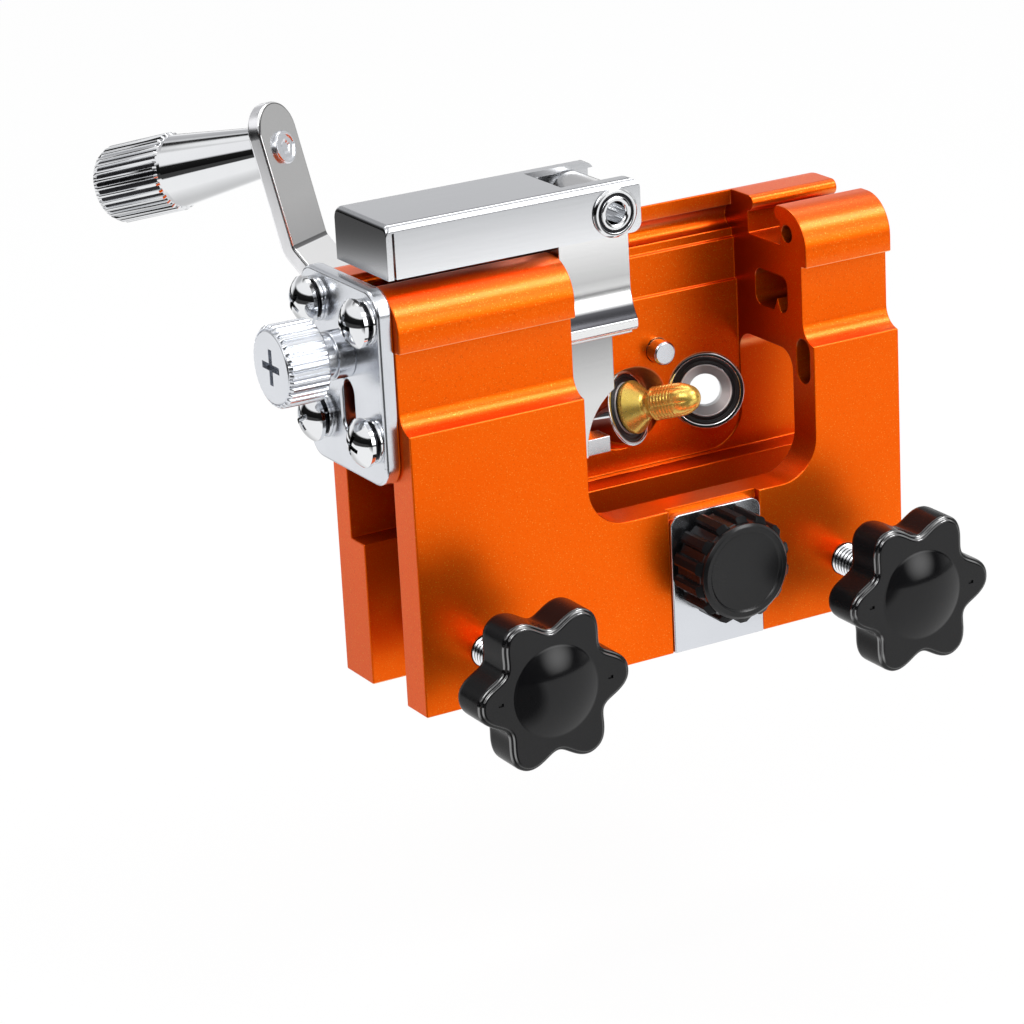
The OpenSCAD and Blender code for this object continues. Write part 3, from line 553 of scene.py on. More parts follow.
def outward(bm):
    """Merges a shape's doubles and turns its faces outward."""
    bmesh.ops.remove_doubles(bm, verts=bm.verts, dist=1e-5)
    bmesh.ops.recalc_face_normals(bm, faces=bm.faces)


def held(name, mesh):
    """An object in the scene for a mesh."""
    obj = bpy.data.objects.new(name, mesh)
    scene.collection.objects.link(obj)
    return obj


def settled(obj):
    """The plain mesh that an object's modifiers make; the object goes."""
    depsgraph = bpy.context.evaluated_depsgraph_get()
    mesh = bpy.data.meshes.new_from_object(obj.evaluated_get(depsgraph))
    drop(obj)
    return mesh


def drop(obj):
    """Removes an object, and its mesh if nothing else holds it."""
    mesh = obj.data
    bpy.data.objects.remove(obj)
    if mesh.users == 0:
        bpy.data.meshes.remove(mesh)


def meshed(bm):
    """A mesh from a shape, faces outward."""
    outward(bm)
    mesh = bpy.data.meshes.new("part")
    bm.to_mesh(mesh)
    bm.free()
    return mesh


def carved(bm, *cutters):
    """A shape with others cut out of it."""
    obj = held("carved", meshed(bm))
    tools = [held("cutter", meshed(c)) for c in cutters]
    for tool in tools:
        cut = obj.modifiers.new("cut", "BOOLEAN")
        cut.operation, cut.solver, cut.object = "DIFFERENCE", "EXACT", tool
    mesh = settled(obj)
    for tool in tools:
        drop(tool)
    return mesh


def worn(name, mesh, material, sharp):
    """An object in one material, smooth but for its sharp edges, with flats that stay flat."""
    mesh.materials.clear()
    mesh.materials.append(material)
    for face in mesh.polygons:
        face.use_smooth, face.material_index = True, 0
    mesh.set_sharp_from_angle(angle=math.radians(sharp))
    obj = held("raw", mesh)
    flats = obj.modifiers.new("flats", "WEIGHTED_NORMAL")
    flats.mode, flats.weight, flats.keep_sharp = "FACE_AREA", 100, True
    finished = settled(obj)
    finished.name = name
    return held(name, finished)


def piece(name, shape, place, material, *nodes, sharp=SMOOTH_TO):
    """A finished piece that stands for CAD nodes and rides on their body."""
    mesh = meshed(shape) if isinstance(shape, bmesh.types.BMesh) else shape
    mesh.transform(place @ Matrix.Scale(MM, 4))
    return signed(worn(name, mesh, material, sharp), *nodes)


def signed(obj, *nodes):
    """Ties a finished piece to the body of the nodes that it stands for, and hides those nodes."""
    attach(obj, BODY_OF[nodes[0]])
    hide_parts(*nodes)
    return obj


def welded(node, dist=1e-6):
    """A CAD solid as a shape whose faces share their corners."""
    bm = bmesh.new()
    bm.from_mesh(frame["nodes"][node].data)
    bmesh.ops.remove_doubles(bm, verts=bm.verts, dist=dist)
    return bm


def eased(node, width, material, segments=2):
    """A CAD solid with its sharp edges rounded."""
    bm = welded(node)
    bmesh.ops.dissolve_limit(bm, angle_limit=SAME_PLANE, verts=bm.verts, edges=bm.edges)
    share = bm.edges.layers.float.new("bevel_weight_edge")
    for edge in bm.edges:
        if edge.is_manifold and edge.calc_face_angle() > EDGE_ANGLE:
            edge[share] = 1.0
    mesh = bpy.data.meshes.new(node)
    bm.to_mesh(mesh)
    bm.free()
    obj = held(node + "_eased", mesh)
    bevel = obj.modifiers.new("ease", "BEVEL")
    bevel.limit_method, bevel.width, bevel.segments = "WEIGHT", width * MM, segments
    bevel.use_clamp_overlap, bevel.miter_outer = False, "MITER_ARC"
    return signed(worn(node + "_eased", settled(obj), material, SMOOTH_TO), node)


# node trees for what repeats

# how far a fastener is turned on from the one before, in radians
TURN_STEP, TURN_START = 1.9, 0.5
THREAD_STEPS = 40


def new_tree(name, inputs):
    tree = bpy.data.node_groups.new(name, "GeometryNodeTree")
    for label, kind in inputs:
        tree.interface.new_socket(label, in_out="INPUT", socket_type="NodeSocket" + kind)
    tree.interface.new_socket("Geometry", in_out="OUTPUT", socket_type="NodeSocketGeometry")
    graph = Graph(tree)
    return tree, graph, graph.node("NodeGroupInput")


def close_tree(graph, inputs, geometry):
    """Ends a tree: instances made real, and one material."""
    real = graph.add("GeometryNodeRealizeInstances", inputs={"Geometry": geometry})
    clad = graph.add("GeometryNodeSetMaterial", inputs={"Geometry": real,
                                                       "Material": Value(graph, inputs.outputs["Material"])})
    graph.node("NodeGroupOutput", inputs={"Geometry": clad})


def ring_tree():
    """Copies of an object, evenly turned about Z."""
    tree, graph, inputs = new_tree("ring_of_ribs", [
        ("Rib", "Object"), ("Count", "Int"), ("Material", "Material")])
    count = Value(graph, inputs.outputs["Count"])
    points = graph.add("GeometryNodePoints", inputs={"Count": count})
    turn = graph.add("GeometryNodeInputIndex") * (2 * math.pi) / count
    spin = graph.add("ShaderNodeCombineXYZ", inputs={"Z": turn})
    rib = graph.add("GeometryNodeObjectInfo", inputs={"Object": Value(graph, inputs.outputs["Rib"])},
                    out="Geometry")
    copies = graph.add("GeometryNodeInstanceOnPoints", inputs={
        "Points": points, "Instance": rib,
        "Rotation": graph.add("FunctionNodeEulerToRotation", inputs={0: spin})})
    close_tree(graph, inputs, copies)
    return tree


def corner_tree():
    """Copies of an object on the four corners of a rectangle, each turned its own way."""
    tree, graph, inputs = new_tree("four_corners", [
        ("Fastener", "Object"), ("Width", "Float"), ("Height", "Float"), ("Material", "Material")])
    grid = graph.add("GeometryNodeMeshGrid", inputs={
        "Size X": Value(graph, inputs.outputs["Width"]), "Size Y": Value(graph, inputs.outputs["Height"]),
        "Vertices X": 2, "Vertices Y": 2})
    item = graph.add("GeometryNodeObjectInfo", inputs={"Object": Value(graph, inputs.outputs["Fastener"])},
                     out="Geometry")
    turn = graph.add("GeometryNodeInputIndex") * TURN_STEP + TURN_START
    spin = graph.add("ShaderNodeCombineXYZ", inputs={"Z": turn})
    copies = graph.add("GeometryNodeInstanceOnPoints", inputs={
        "Points": grid, "Instance": item,
        "Rotation": graph.add("FunctionNodeEulerToRotation", inputs={0: spin})})
    close_tree(graph, inputs, copies)
    return tree


def thread_tree():
    """A screw thread: a diamond section swept along a helix that rises from Z = 0."""
    sizes = ("Turns", "Pitch", "Radius", "Section")
    tree, graph, inputs = new_tree("screw_thread", [(n, "Float") for n in sizes] + [("Material", "Material")])
    turns, pitch, radius, section = (Value(graph, inputs.outputs[n]) for n in sizes)
    helix = graph.add("GeometryNodeCurveSpiral", inputs={
        "Resolution": THREAD_STEPS, "Rotations": turns, "Start Radius": radius, "End Radius": radius,
        "Height": turns * pitch})
    upright = graph.add("GeometryNodeSetCurveNormal", {"mode": "Z_UP"}, {"Curve": helix})
    diamond = graph.add("GeometryNodeCurvePrimitiveCircle", inputs={"Resolution": 4, "Radius": section})
    swept = graph.add("GeometryNodeCurveToMesh", inputs={
        "Curve": upright, "Profile Curve": diamond, "Fill Caps": True})
    close_tree(graph, inputs, swept)
    return tree


RING, CORNERS, THREAD = ring_tree(), corner_tree(), thread_tree()


def grown(tree, **values):
    """The mesh that a node tree makes from the named inputs."""
    obj = held(tree.name, bpy.data.meshes.new(tree.name))
    modifier = obj.modifiers.new(tree.name, "NODES")
    modifier.node_group = tree
    for item in tree.interface.items_tree:
        if item.item_type == "SOCKET" and item.in_out == "INPUT":
            modifier[item.identifier] = values[item.name]
    return settled(obj)


def repeated(tree, shape, label, material, **values):
    """The mesh of a tree that copies one shape."""
    master = held("master", meshed(shape) if isinstance(shape, bmesh.types.BMesh) else shape)
    mesh = grown(tree, **{label: master, "Material": material}, **values)
    drop(master)
    return mesh


def rib(inner, outer, half, top, z0, z1, slopes):
    """A straight rib along Z on a drum, its crest rounded and its ends sloped."""
    root, shoulder, crown, least = 0.3, 0.72, 0.6, 0.02
    sections = []
    for z, lift in ((z0, least), (z0 + slopes[0], 1.0), (z1 - slopes[1], 1.0), (z1, least)):
        crest = inner + (outer - inner) * lift
        side = inner + (crest - inner) * shoulder
        half_section = [(half, inner - root), (half, inner), (top, side), (top * crown, crest)]
        outline = half_section + [(-x, y) for x, y in reversed(half_section)]
        sections.append([(x, y, z) for x, y in outline])
    return skin(sections)


def threaded(turns, pitch, core, section, start, material):
    """A thread's mesh in millimetres, rising from a height."""
    mesh = grown(THREAD, Turns=turns, Pitch=pitch, Radius=core, Section=section, Material=material)
    mesh.transform(Matrix.Translation((0, 0, start)))
    return mesh


def cross_slots(reach, half, top, depth):
    """Two tapered bars that cut a cross recess into a flat or a dome."""
    return [bar((-x, -y, top - depth), (x, y, top + 1), 0.3) for x, y in ((reach, half), (half, reach))]


# pieces that keep the solid's own shape, with their edges rounded

eased("housing", 0.35, ORANGE)
eased("end_plate", 0.8, PLATED, segments=3)
eased("stop_pin", 0.15, PLATED)
eased("slide_block", 0.3, SATIN)
eased("gauge_plate", 0.4, PLATED)
eased("crank_arm", 0.7, BRUSHED, segments=3)
eased("crank_nut", 0.35, CHROME)
for hidden in ("stop_pawl", "lift_pin", "feed_clip", "clamp_pad_left", "clamp_pad_right", "gauge_washer"):
    eased(hidden, 0.2, ZINC)
eased("gauge_screw", 0.3, ZINC)
for side in SIDES:
    balls = welded(f"bearing_balls_{side}")
    bmesh.ops.scale(balls, vec=(1 / MM,) * 3, verts=balls.verts)
    piece(f"balls_{side}", balls, Matrix(), ZINC, f"bearing_balls_{side}")


# end plate's screws and washers, with Z outward from the plate

PLATE = axle("feed_spin", flip=True)
HEAD_R, HEAD_Z, HEAD_TOP, DOME_R = 5.8, 1.8, 6.0, 7.25
SHANK_R, SHANK_END = 2.1, -17.0
low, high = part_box("end_plate_screws")
middle = (low + high) / 2
spread = (high - low) / MM - Vector((0, 2 * HEAD_R, 2 * HEAD_R))
screws_at = Matrix.Translation((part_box("end_plate")[0].x, middle.y, middle.z)) @ PLATE.to_3x3().to_4x4()

dome = [(DOME_R * math.sin(a), HEAD_TOP - DOME_R + DOME_R * math.cos(a))
        for a in (math.asin(HEAD_R / DOME_R) * k / 9 for k in range(9, -1, -1))]
shank = rounded([(0, SHANK_END), (SHANK_R, SHANK_END, 0.3), (SHANK_R, HEAD_Z), (HEAD_R - 0.4, HEAD_Z),
                 (HEAD_R, HEAD_Z + 0.4, 0.2)], 3)
pan = turned(shank + [Vector(p) for p in dome], steps=64)
screw = carved(pan, *cross_slots(2.9, 0.7, HEAD_TOP, 2.0))
heads = repeated(CORNERS, screw, "Fastener", CHROME, Width=spread.y, Height=spread.z)
piece("plate_screws", heads, screws_at, CHROME, "end_plate_screws")

FLAT_R, FLAT_BORE, FLAT_T = 5.4, 2.2, 0.85
flat = turned(rounded([(FLAT_BORE, 0), (FLAT_R, 0, 0.2), (FLAT_R, FLAT_T, 0.2), (FLAT_BORE, FLAT_T),
                       (FLAT_BORE, 0)], 2), steps=64)
COIL_R, COIL_BORE, COIL_T, COIL_EDGE, COIL_STEPS = 4.6, 2.3, 0.78, 0.12, 40
COIL_GAP, COIL_Z, COIL_RISE = 8, 0.88, 0.1
wire = [(COIL_BORE, 0), (COIL_R - 0.1, 0), (COIL_R, COIL_EDGE), (COIL_R, COIL_T - COIL_EDGE),
        (COIL_R - 0.1, COIL_T), (COIL_BORE, COIL_T)]
coil = []
for k in range(COIL_STEPS + 1):
    share = k / COIL_STEPS
    a = math.radians(COIL_GAP + (360 - 2 * COIL_GAP) * share)
    coil.append([(r * math.cos(a), r * math.sin(a), z + COIL_Z + COIL_RISE * share) for r, z in wire])
for name, shape, material in (("flat_washers", flat, CHROME), ("spring_washers", skin(coil), BLACKENED_AND_SHADE)):
    washers = repeated(CORNERS, shape, "Fastener", material, Width=spread.y, Height=spread.z)
    piece(name, washers, screws_at, material, "end_plate_washers")

# bearings, sleeves and the cranked spindle

RING_L, RING_R, RING_BORE = 12.0, 9.5, 8.42
SEAL_R, SEAL_BORE = 8.37, 6.56
SLEEVE_L, SLEEVE_R, SLEEVE_BORE, MOUTH_R, MOUTH_L = 15.0, 6.5, 4.05, 6.1, 4.0
MARKS, MARK_DEPTH = 36, 0.006
for side, joint in zip(SIDES, ("crank_spin", "right_sleeve_spin")):
    at = axle(joint)
    race = rounded([(RING_BORE, -RING_L / 2), (RING_BORE, -RING_L), (RING_R, -RING_L, 0.3), (RING_R, 0, 0.35),
                    (RING_BORE, 0, 0.25), (RING_BORE, -RING_L / 2)])
    piece(f"race_{side}", turned(race), at, CHROME, f"bearing_ring_{side}")
    front_lip = rounded([
        (SEAL_BORE, -1.0), (SEAL_BORE, -1.4), (SEAL_R, -1.4), (SEAL_R, -0.2, 0.2), (7.85, -0.2, 0.2),
        (7.55, -0.6, 0.2), (7.2, -0.6, 0.2), (6.95, -0.3, 0.15), (SEAL_BORE, -0.3, 0.1), (SEAL_BORE, -1.0)])
    rear_lip = rounded([
        (SEAL_BORE, -11.0), (SEAL_R, -10.6), (SEAL_R, -11.8, 0.2), (7.6, -11.5, 0.3),
        (SEAL_BORE, -11.8, 0.2), (SEAL_BORE, -11.0)])
    seals = merged(turned(front_lip), turned(rear_lip))
    piece(f"seals_{side}", seals, at, RUBBER, f"bearing_seals_{side}")
    sleeve = rounded([(SLEEVE_BORE, 1 - SLEEVE_L), (SLEEVE_BORE, -SLEEVE_L, 0.2), (SLEEVE_R, -SLEEVE_L, 0.4),
                      (SLEEVE_R, 0, 0.25), (MOUTH_R + 0.05, 0)])
    for k in range(MARKS + 1):
        fall = k / MARKS
        sleeve.append(Vector((MOUTH_R - (MOUTH_R - SLEEVE_BORE) * fall + MARK_DEPTH * (-1) ** k,
                              -0.05 - (MOUTH_L - 0.1) * fall)))
    sleeve.append(Vector((SLEEVE_BORE, 1 - SLEEVE_L)))
    piece(f"sleeve_{side}_turned", turned(sleeve), at, FANNED, f"sleeve_{side}", sharp=50.0)

SPINDLE = axle("crank_spin")
SHAFT_R, COLLAR_R, SEAT_R, STEM_R = 4.0, 6.5, 3.49, 2.0
TAIL, SEAT_END, COLLAR_END, COLLAR_TOP, STEM_TOP = -71.0, -60.0, -56.0, -51.0, 6.0
THREAD_CORE, TAIL_R, PITCH = 3.1, 3.45, 1.25
shaft = turned(rounded([
    (0, TAIL), (THREAD_CORE, TAIL), (TAIL_R, TAIL + 0.4), (TAIL_R, SEAT_END - 0.05), (SEAT_R, SEAT_END),
    (SEAT_R, COLLAR_END), (COLLAR_R, COLLAR_END, 0.4), (COLLAR_R, COLLAR_TOP, 0.4), (SHAFT_R, COLLAR_TOP),
    (SHAFT_R, -0.1), (STEM_R, 0), (STEM_R, STEM_TOP - 0.4), (STEM_R - 0.3, STEM_TOP), (0, STEM_TOP)]))
shaft = merged(shaft, threaded(8.0, PITCH, THREAD_CORE, 0.4, TAIL + 0.6, ZINC))
piece("spindle_shaft", shaft, SPINDLE, ZINC, "spindle")

FLANGE_R, BURR_R, NECK_R, BURR_L = 6.6, 4.2, 3.02, 20.0
FLUTES_FROM, FLUTES_TO, NOSE_Z = 8.0, 18.6, 14.0


def fluted(a, r, z):
    """Straight flutes and fine rings on the cutting body of the burr."""
    if not FLUTES_FROM < z < FLUTES_TO:
        return r
    flute_depth, ring_depth, ring_rate = 0.4, 0.13, 7.0
    fade = min(1.0, (z - FLUTES_FROM) / 0.4, (FLUTES_TO - z) / 1.5)
    land = abs(math.sin(3 * a)) ** 0.5
    return r - fade * (flute_depth * (1 - land) + ring_depth * land * (1 + math.cos(z * ring_rate)) / 2)


burr = rounded([
    (0, STEM_TOP + 0.3), (STEM_R + 0.05, STEM_TOP + 0.3), (STEM_R + 0.05, 0.3), (FLANGE_R - 0.4, 0.3),
    (FLANGE_R, 0.75, 0.2), (FLANGE_R, 1.7, 0.3), (NECK_R + 0.7, 5.0, 0.2), (NECK_R, 5.5, 0.2),
    (NECK_R, 6.5, 0.2), (BURR_R, 7.5, 0.2)])
burr += [Vector((BURR_R, 7.8 + (NOSE_Z - 7.8) * k / 70)) for k in range(71)]
for t in (math.radians(4 * k) for k in range(1, 21)):
    burr.append(Vector((BURR_R * math.cos(t), NOSE_Z + (BURR_L - NOSE_Z) * math.sin(t))))
burr.append(Vector((0, BURR_L)))
piece("burr_cutter", turned(burr, steps=180, wave=fluted), SPINDLE, GOLD, "burr", sharp=70.0)

GRIP = axle("grip_spin")
PIN_R, PIN_END, ARM_FACE = 3.0, 44.0, -4.0


def hammered(a, r, z):
    """Uneven marks on the crown of the riveted pin."""
    if z < ARM_FACE - 0.4 and r < PIN_R + 0.3:
        return r * (1 + 0.16 * math.sin(2 * a + 1) * math.sin(3 * a))
    return r


rivet = rounded([
    (0, PIN_END), (PIN_R - 0.4, PIN_END), (PIN_R, PIN_END - 0.4), (PIN_R, ARM_FACE), (4.3, ARM_FACE - 0.02),
    (4.3, -4.7, 0.25), (3.95, -5.05, 0.2), (3.5, -5.05, 0.2), (3.15, -4.75, 0.2), (1.9, -4.85, 0.3),
    (1.2, -4.55, 0.3), (0, -4.6)])
piece("grip_rivet", turned(rivet, wave=hammered), GRIP, PLATED, "grip_pin", sharp=60.0)

DRUM_R, RIB_TOP, GRIP_L, GRIP_BORE, GRIP_BORE_END, RIBS_FROM = 9.35, 10.2, 52.5, 3.05, 45.5, 29.9
cone = rounded([
    (0, GRIP_BORE_END), (GRIP_BORE, GRIP_BORE_END), (GRIP_BORE, 0.3), (5.7, 0.3), (6.22, 0.8, 0.3),
    (DRUM_R + 0.03, RIBS_FROM - 1.0, 0.5), (DRUM_R, RIBS_FROM + 0.3), (DRUM_R, 49.4), (DRUM_R, 50.0, 0.3),
    (8.6, 51.6, 0.8), (7.3, GRIP_L, 0.8), (0, GRIP_L)])
grip_rib = rib(DRUM_R - 0.05, RIB_TOP, 0.68, 0.48, RIBS_FROM, GRIP_L - 1.6, (0.7, 1.6))
ribs = repeated(RING, grip_rib, "Rib", CHROME, Count=30)
piece("crank_grip", merged(turned(cone), ribs), GRIP, CHROME, "grip_handle")
# painted shade: a black drum between the ribs stands for the shade in the grooves
GROOVE_IN, GROOVE_OUT, GROOVE_FROM, GROOVE_TO = 9.2, 9.43, 30.5, 49.7
groove_shade = turned([(GROOVE_IN, GROOVE_FROM), (GROOVE_OUT, GROOVE_FROM), (GROOVE_OUT, GROOVE_TO),
                 (GROOVE_IN, GROOVE_TO)], closed=True)
piece("grip_grooves", groove_shade, GRIP, BLACKENED_AND_SHADE, "grip_handle")

# feed screw, lever and its rivet

NECK, HEAD0, HEAD1, FEED_END = 4.05, 12.05, 23.05, -43.9
FEED_R, THUMB_R, KNURL_R = 4.0, 9.2, 9.8
stem = rounded([
    (0, FEED_END), (FEED_R - 0.6, FEED_END), (FEED_R, FEED_END + 0.6), (FEED_R, NECK), (5.75, NECK, 0.2),
    (5.8, 8.3, 0.25), (5.0, 8.4), (5.0, HEAD0), (THUMB_R - 0.6, HEAD0), (THUMB_R, HEAD0 + 0.6),
    (THUMB_R, HEAD1 - 0.9, 0.2), (THUMB_R - 0.7, HEAD1, 0.3), (0, HEAD1)])
thumb = carved(turned(stem), *cross_slots(4.4, 0.95, HEAD1, 2.2))
knurl = rib(THUMB_R - 0.05, KNURL_R, 0.72, 0.5, HEAD0 + 0.3, HEAD1 - 0.25, (0.5, 0.8))
knurls = repeated(RING, knurl, "Rib", CHROME, Count=32)
piece("feed_thumbscrew", merged(thumb, knurls), PLATE, PLATED, "feed_screw")

lever_low, lever_high = (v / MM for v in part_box("lift_lever"))
pivot = sum(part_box("lever_rivet"), Vector()) / (2 * MM)
SHEET, FOLD, END_FOLD, EAR = 1.5, 1.7, 1.3, 2.5
NOTCH_L, NOTCH_W, SEAM, SEAM_TOP, PIVOT_R = 19.0, 17.0, 0.6, 1.9, 4.02
bows = [(END_FOLD * (1 - math.cos(a)), END_FOLD * (1 - math.sin(a)))
        for a in (math.radians(9 * k) for k in range(11))]
folds = []
for x, top in bows + [(lever_high.x - lever_low.x, 0.0)]:
    z = lever_high.z - top
    outline = [(lever_low.y, lever_low.z)] + arc((lever_low.y + FOLD, z - FOLD), FOLD, 180, 90)
    outline += arc((lever_high.y - FOLD, z - FOLD), FOLD, 90, 0) + [(lever_high.y, lever_low.z)]
    folds.append([(lever_low.x + x, *spot) for spot in outline])
inner = bar((lever_low.x + SHEET, lever_low.y + SHEET, lever_low.z - 1),
            (lever_high.x + 1, lever_high.y - SHEET, lever_high.z - SHEET))
notch = bar((lever_high.x - NOTCH_L, pivot.y - NOTCH_W / 2, lever_high.z - SHEET - 1),
            (lever_high.x + 1, pivot.y + NOTCH_W / 2, lever_high.z + 1))
seam = bar((lever_low.x + SHEET, lever_low.y - 1, lever_low.z - 1),
           (lever_low.x + SHEET + SEAM, lever_high.y + 1, lever_high.z - SEAM_TOP))
ears = []
for z, way in ((lever_low.z, -1), (lever_high.z, 1)):
    bow = arc((lever_high.x - EAR, z - way * EAR), EAR, 0, 90 * way)
    ears.append(prism(bow + [(lever_high.x - EAR, z + way), (lever_high.x + 1, z + way),
                             (lever_high.x + 1, z - way * EAR)], lever_low.y - 1, lever_high.y + 1))
eye = prism(arc((pivot.x, pivot.z), PIVOT_R, 0, 345, 23), lever_low.y - 1, lever_high.y + 1)
lever = carved(skin(folds), inner, notch, seam, *ears, eye)
piece("lever_folded", lever, Matrix(), FOLDED, "lift_lever", sharp=25.0)

LEVER = axle("lever_lift", flip=True)
FLANGE0, FLANGE1, EYELET_R, EYELET_BORE, TUBE_R = 12.62, 13.5, 6.0, 2.6, 4.0
BAND_IN, BAND_OUT, BAND_TOP = 4.05, 4.75, FLANGE0 + 0.3
half = rounded([
    (EYELET_BORE, 11.5), (EYELET_BORE, 13.0, 0.3), (2.9, FLANGE1 - 0.1, 0.3), (3.5, FLANGE1, 0.3),
    (TUBE_R, FLANGE1 - 0.1, 0.15), (4.1, FLANGE0 + 0.1), (4.7, FLANGE0 + 0.1), (4.8, FLANGE1 - 0.15, 0.15),
    (5.4, FLANGE1 - 0.1, 0.3), (EYELET_R, FLANGE1 - 0.5, 0.3), (EYELET_R, FLANGE0), (TUBE_R, FLANGE0),
    (TUBE_R, 0)])
tube = half + [Vector((r, -z)) for r, z in reversed(half)]
piece("lever_eyelet", turned(tube, closed=True), LEVER, CHROME, "lever_rivet")
# painted shade: black rings at the bottom of the eyelet's grooves stand for the shade there
shade_rings = []
for way in (-1, 1):
    ring = [(BAND_IN, BAND_TOP), (BAND_OUT, BAND_TOP), (BAND_OUT, FLANGE0), (BAND_IN, FLANGE0)]
    shade_rings.append(turned([(r, way * z) for r, z in ring], closed=True))
piece("eyelet_bands", merged(*shade_rings), LEVER, BLACKENED_AND_SHADE, "lever_rivet")

# clamps and the height gauge

STAR_R, STAR_DEPTH, STAR_TURN = 20.0, 5.0, math.radians(1.5)
CAP_R, CAP_RISE, CAP_RINGS, STAR_N, DIMPLE_X = 11.2, 2.6, 20, 240, 14.5


def star_ring(inset, z):
    """The six-lobed outline, set in along its own normal."""
    points = []
    for k in range(STAR_N):
        a, step = 2 * math.pi * k / STAR_N, 1e-3
        spots = []
        for t in (a - step, a, a + step):
            r = STAR_R - STAR_DEPTH * ((1 - math.cos(6 * (t - STAR_TURN))) / 2) ** 1.2
            spots.append(Vector((r * math.cos(t), r * math.sin(t))))
        run = (spots[2] - spots[0]).normalized()
        at = spots[1] - Vector((run.y, -run.x)) * inset
        points.append((at.x, at.y, z))
    return points


def star_knob():
    """The flank of a knob, and its face with the bead at the rim, the domed cap and two dimples."""
    flank = [(1.7, 0.0), (0.9, 0.2), (0.35, 0.7), (0.08, 1.4), (0.0, 2.2), (0.0, STAR_H - 1.5)]
    bead = [(0.05, STAR_H - 1.15), (0.2, STAR_H - 0.85), (0.45, STAR_H - 0.65), (0.72, STAR_H - 0.58),
            (0.8, STAR_H - 0.54), (0.86, STAR_H - 0.4), (1.0, STAR_H - 0.18), (1.2, STAR_H - 0.04),
            (1.5, STAR_H), (2.2, STAR_H)]
    sides = [star_ring(inset, z) for inset, z in flank]
    sections = sides[-1:] + [star_ring(inset, z) for inset, z in bead]
    ball = (CAP_R ** 2 + CAP_RISE ** 2) / (2 * CAP_RISE)
    tilts = [math.asin(CAP_R / ball) * k / CAP_RINGS for k in range(CAP_RINGS, 0, -1)]
    cap = [(CAP_R + 0.1, STAR_H)]
    cap += [(ball * math.sin(t), STAR_H + CAP_RISE - ball * (1 - math.cos(t))) for t in tilts]
    turns = [2 * math.pi * k / STAR_N for k in range(STAR_N)]
    sections += [[(r * math.cos(a), r * math.sin(a), z) for a in turns] for r, z in cap]
    dimples = [bar((x - 0.8, -0.5, STAR_H - 0.5), (x + 0.8, 0.5, STAR_H + 0.5), 0.2)
               for x in (-DIMPLE_X, DIMPLE_X)]
    return skin(sides, caps=False), carved(skin(sections), *dimples)


STUD0, STUD1, STUD_R, TIP_R, TIP_L = -17.6, 27.0, 3.45, 2.95, 2.7
for side in SIDES:
    at = axle(f"clamp_{side}_spin", flip=True)
    knob_at = at @ Matrix.Translation((0, 0, STAR_Z * MM))
    flank, face = star_knob()
    piece(f"star_flank_{side}", flank, knob_at, DULL_BLACK, f"clamp_knob_{side}", sharp=60.0)
    piece(f"star_knob_{side}", face, knob_at, BLACK, f"clamp_knob_{side}", sharp=60.0)
    tip = STUD0 - TIP_L
    core = rounded([(0, tip), (TIP_R - 0.25, tip), (TIP_R, tip + 0.3), (TIP_R, STUD0), (STUD_R - 0.15, STUD0),
                    (STUD_R, STUD0 + 0.2), (STUD_R, STUD1), (0, STUD1)])
    thread = threaded(29.0, PITCH, STUD_R - 0.03, 0.58, STUD0 + 0.9, STUDDED)
    stud = merged(turned(core, steps=48), thread)
    piece(f"clamp_stud_{side}", stud, at, STUDDED, f"clamp_screw_{side}", sharp=50.0)

GAUGE = axle("gauge_spin", flip=True)
KNOB0, KNOB1, RIB_Z, KNOB_R, TOOTH_R = 1.8, 13.6, 11.7, 12.2, 13.5
drum = rounded([
    (0, 9.6), (3.0, 9.6), (3.0, KNOB0), (KNOB_R - 0.4, KNOB0), (KNOB_R, KNOB0 + 0.4), (KNOB_R, RIB_Z, 0.2),
    (12.05, RIB_Z + 0.3, 0.2), (11.9, KNOB1 - 0.6, 0.3), (11.2, KNOB1, 0.4), (10.1, KNOB1, 0.2),
    (9.75, KNOB1 - 0.35, 0.15), (9.6, KNOB1 - 0.55, 0.15), (9.2, KNOB1 - 0.55), (0, KNOB1 - 0.45)])
tooth = rib(KNOB_R - 0.1, TOOTH_R, 1.75, 1.45, KNOB0 + 0.05, RIB_Z + 0.6, (0.3, 0.9))
teeth = repeated(RING, tooth, "Rib", DULL_BLACK, Count=14)
piece("gauge_knob_drum", turned(drum), GAUGE, MATT_BLACK, "gauge_knob")
piece("gauge_knob_teeth", teeth, GAUGE, DULL_BLACK, "gauge_knob")

# camera, floor and light

AIM, AZIMUTH, ELEVATION, ROLL = Vector((-3.0, -11.5, 47.0)) * MM, -29.04, 19.16, 3.05
PIXELS_PER_MM, FOCAL_PIXELS, PICTURE, SENSOR = 4.1765, 3880.6, 1024, 36.0
OFFSET = (107.6, 107.0)
az, el, roll = (math.radians(v) for v in (AZIMUTH, ELEVATION, ROLL))
toward = Vector((math.sin(az) * math.cos(el), -math.cos(az) * math.cos(el), math.sin(el)))
right = Vector((0, 0, 1)).cross(toward).normalized()
above = toward.cross(right)
across = right * math.cos(roll) - above * math.sin(roll)
upward = right * math.sin(roll) + above * math.cos(roll)
spot = AIM + (toward * FOCAL_PIXELS - across * OFFSET[0] - upward * OFFSET[1]) * (MM / PIXELS_PER_MM)
lens = bpy.data.cameras.new("camera")
lens.sensor_width, lens.lens, lens.clip_start = SENSOR, FOCAL_PIXELS / PICTURE * SENSOR, 0.01
camera = bpy.data.objects.new("camera", lens)
scene.collection.objects.link(camera)
camera.matrix_world = Matrix.Translation(spot) @ Matrix((across, upward, toward)).transposed().to_4x4()
scene.camera = camera

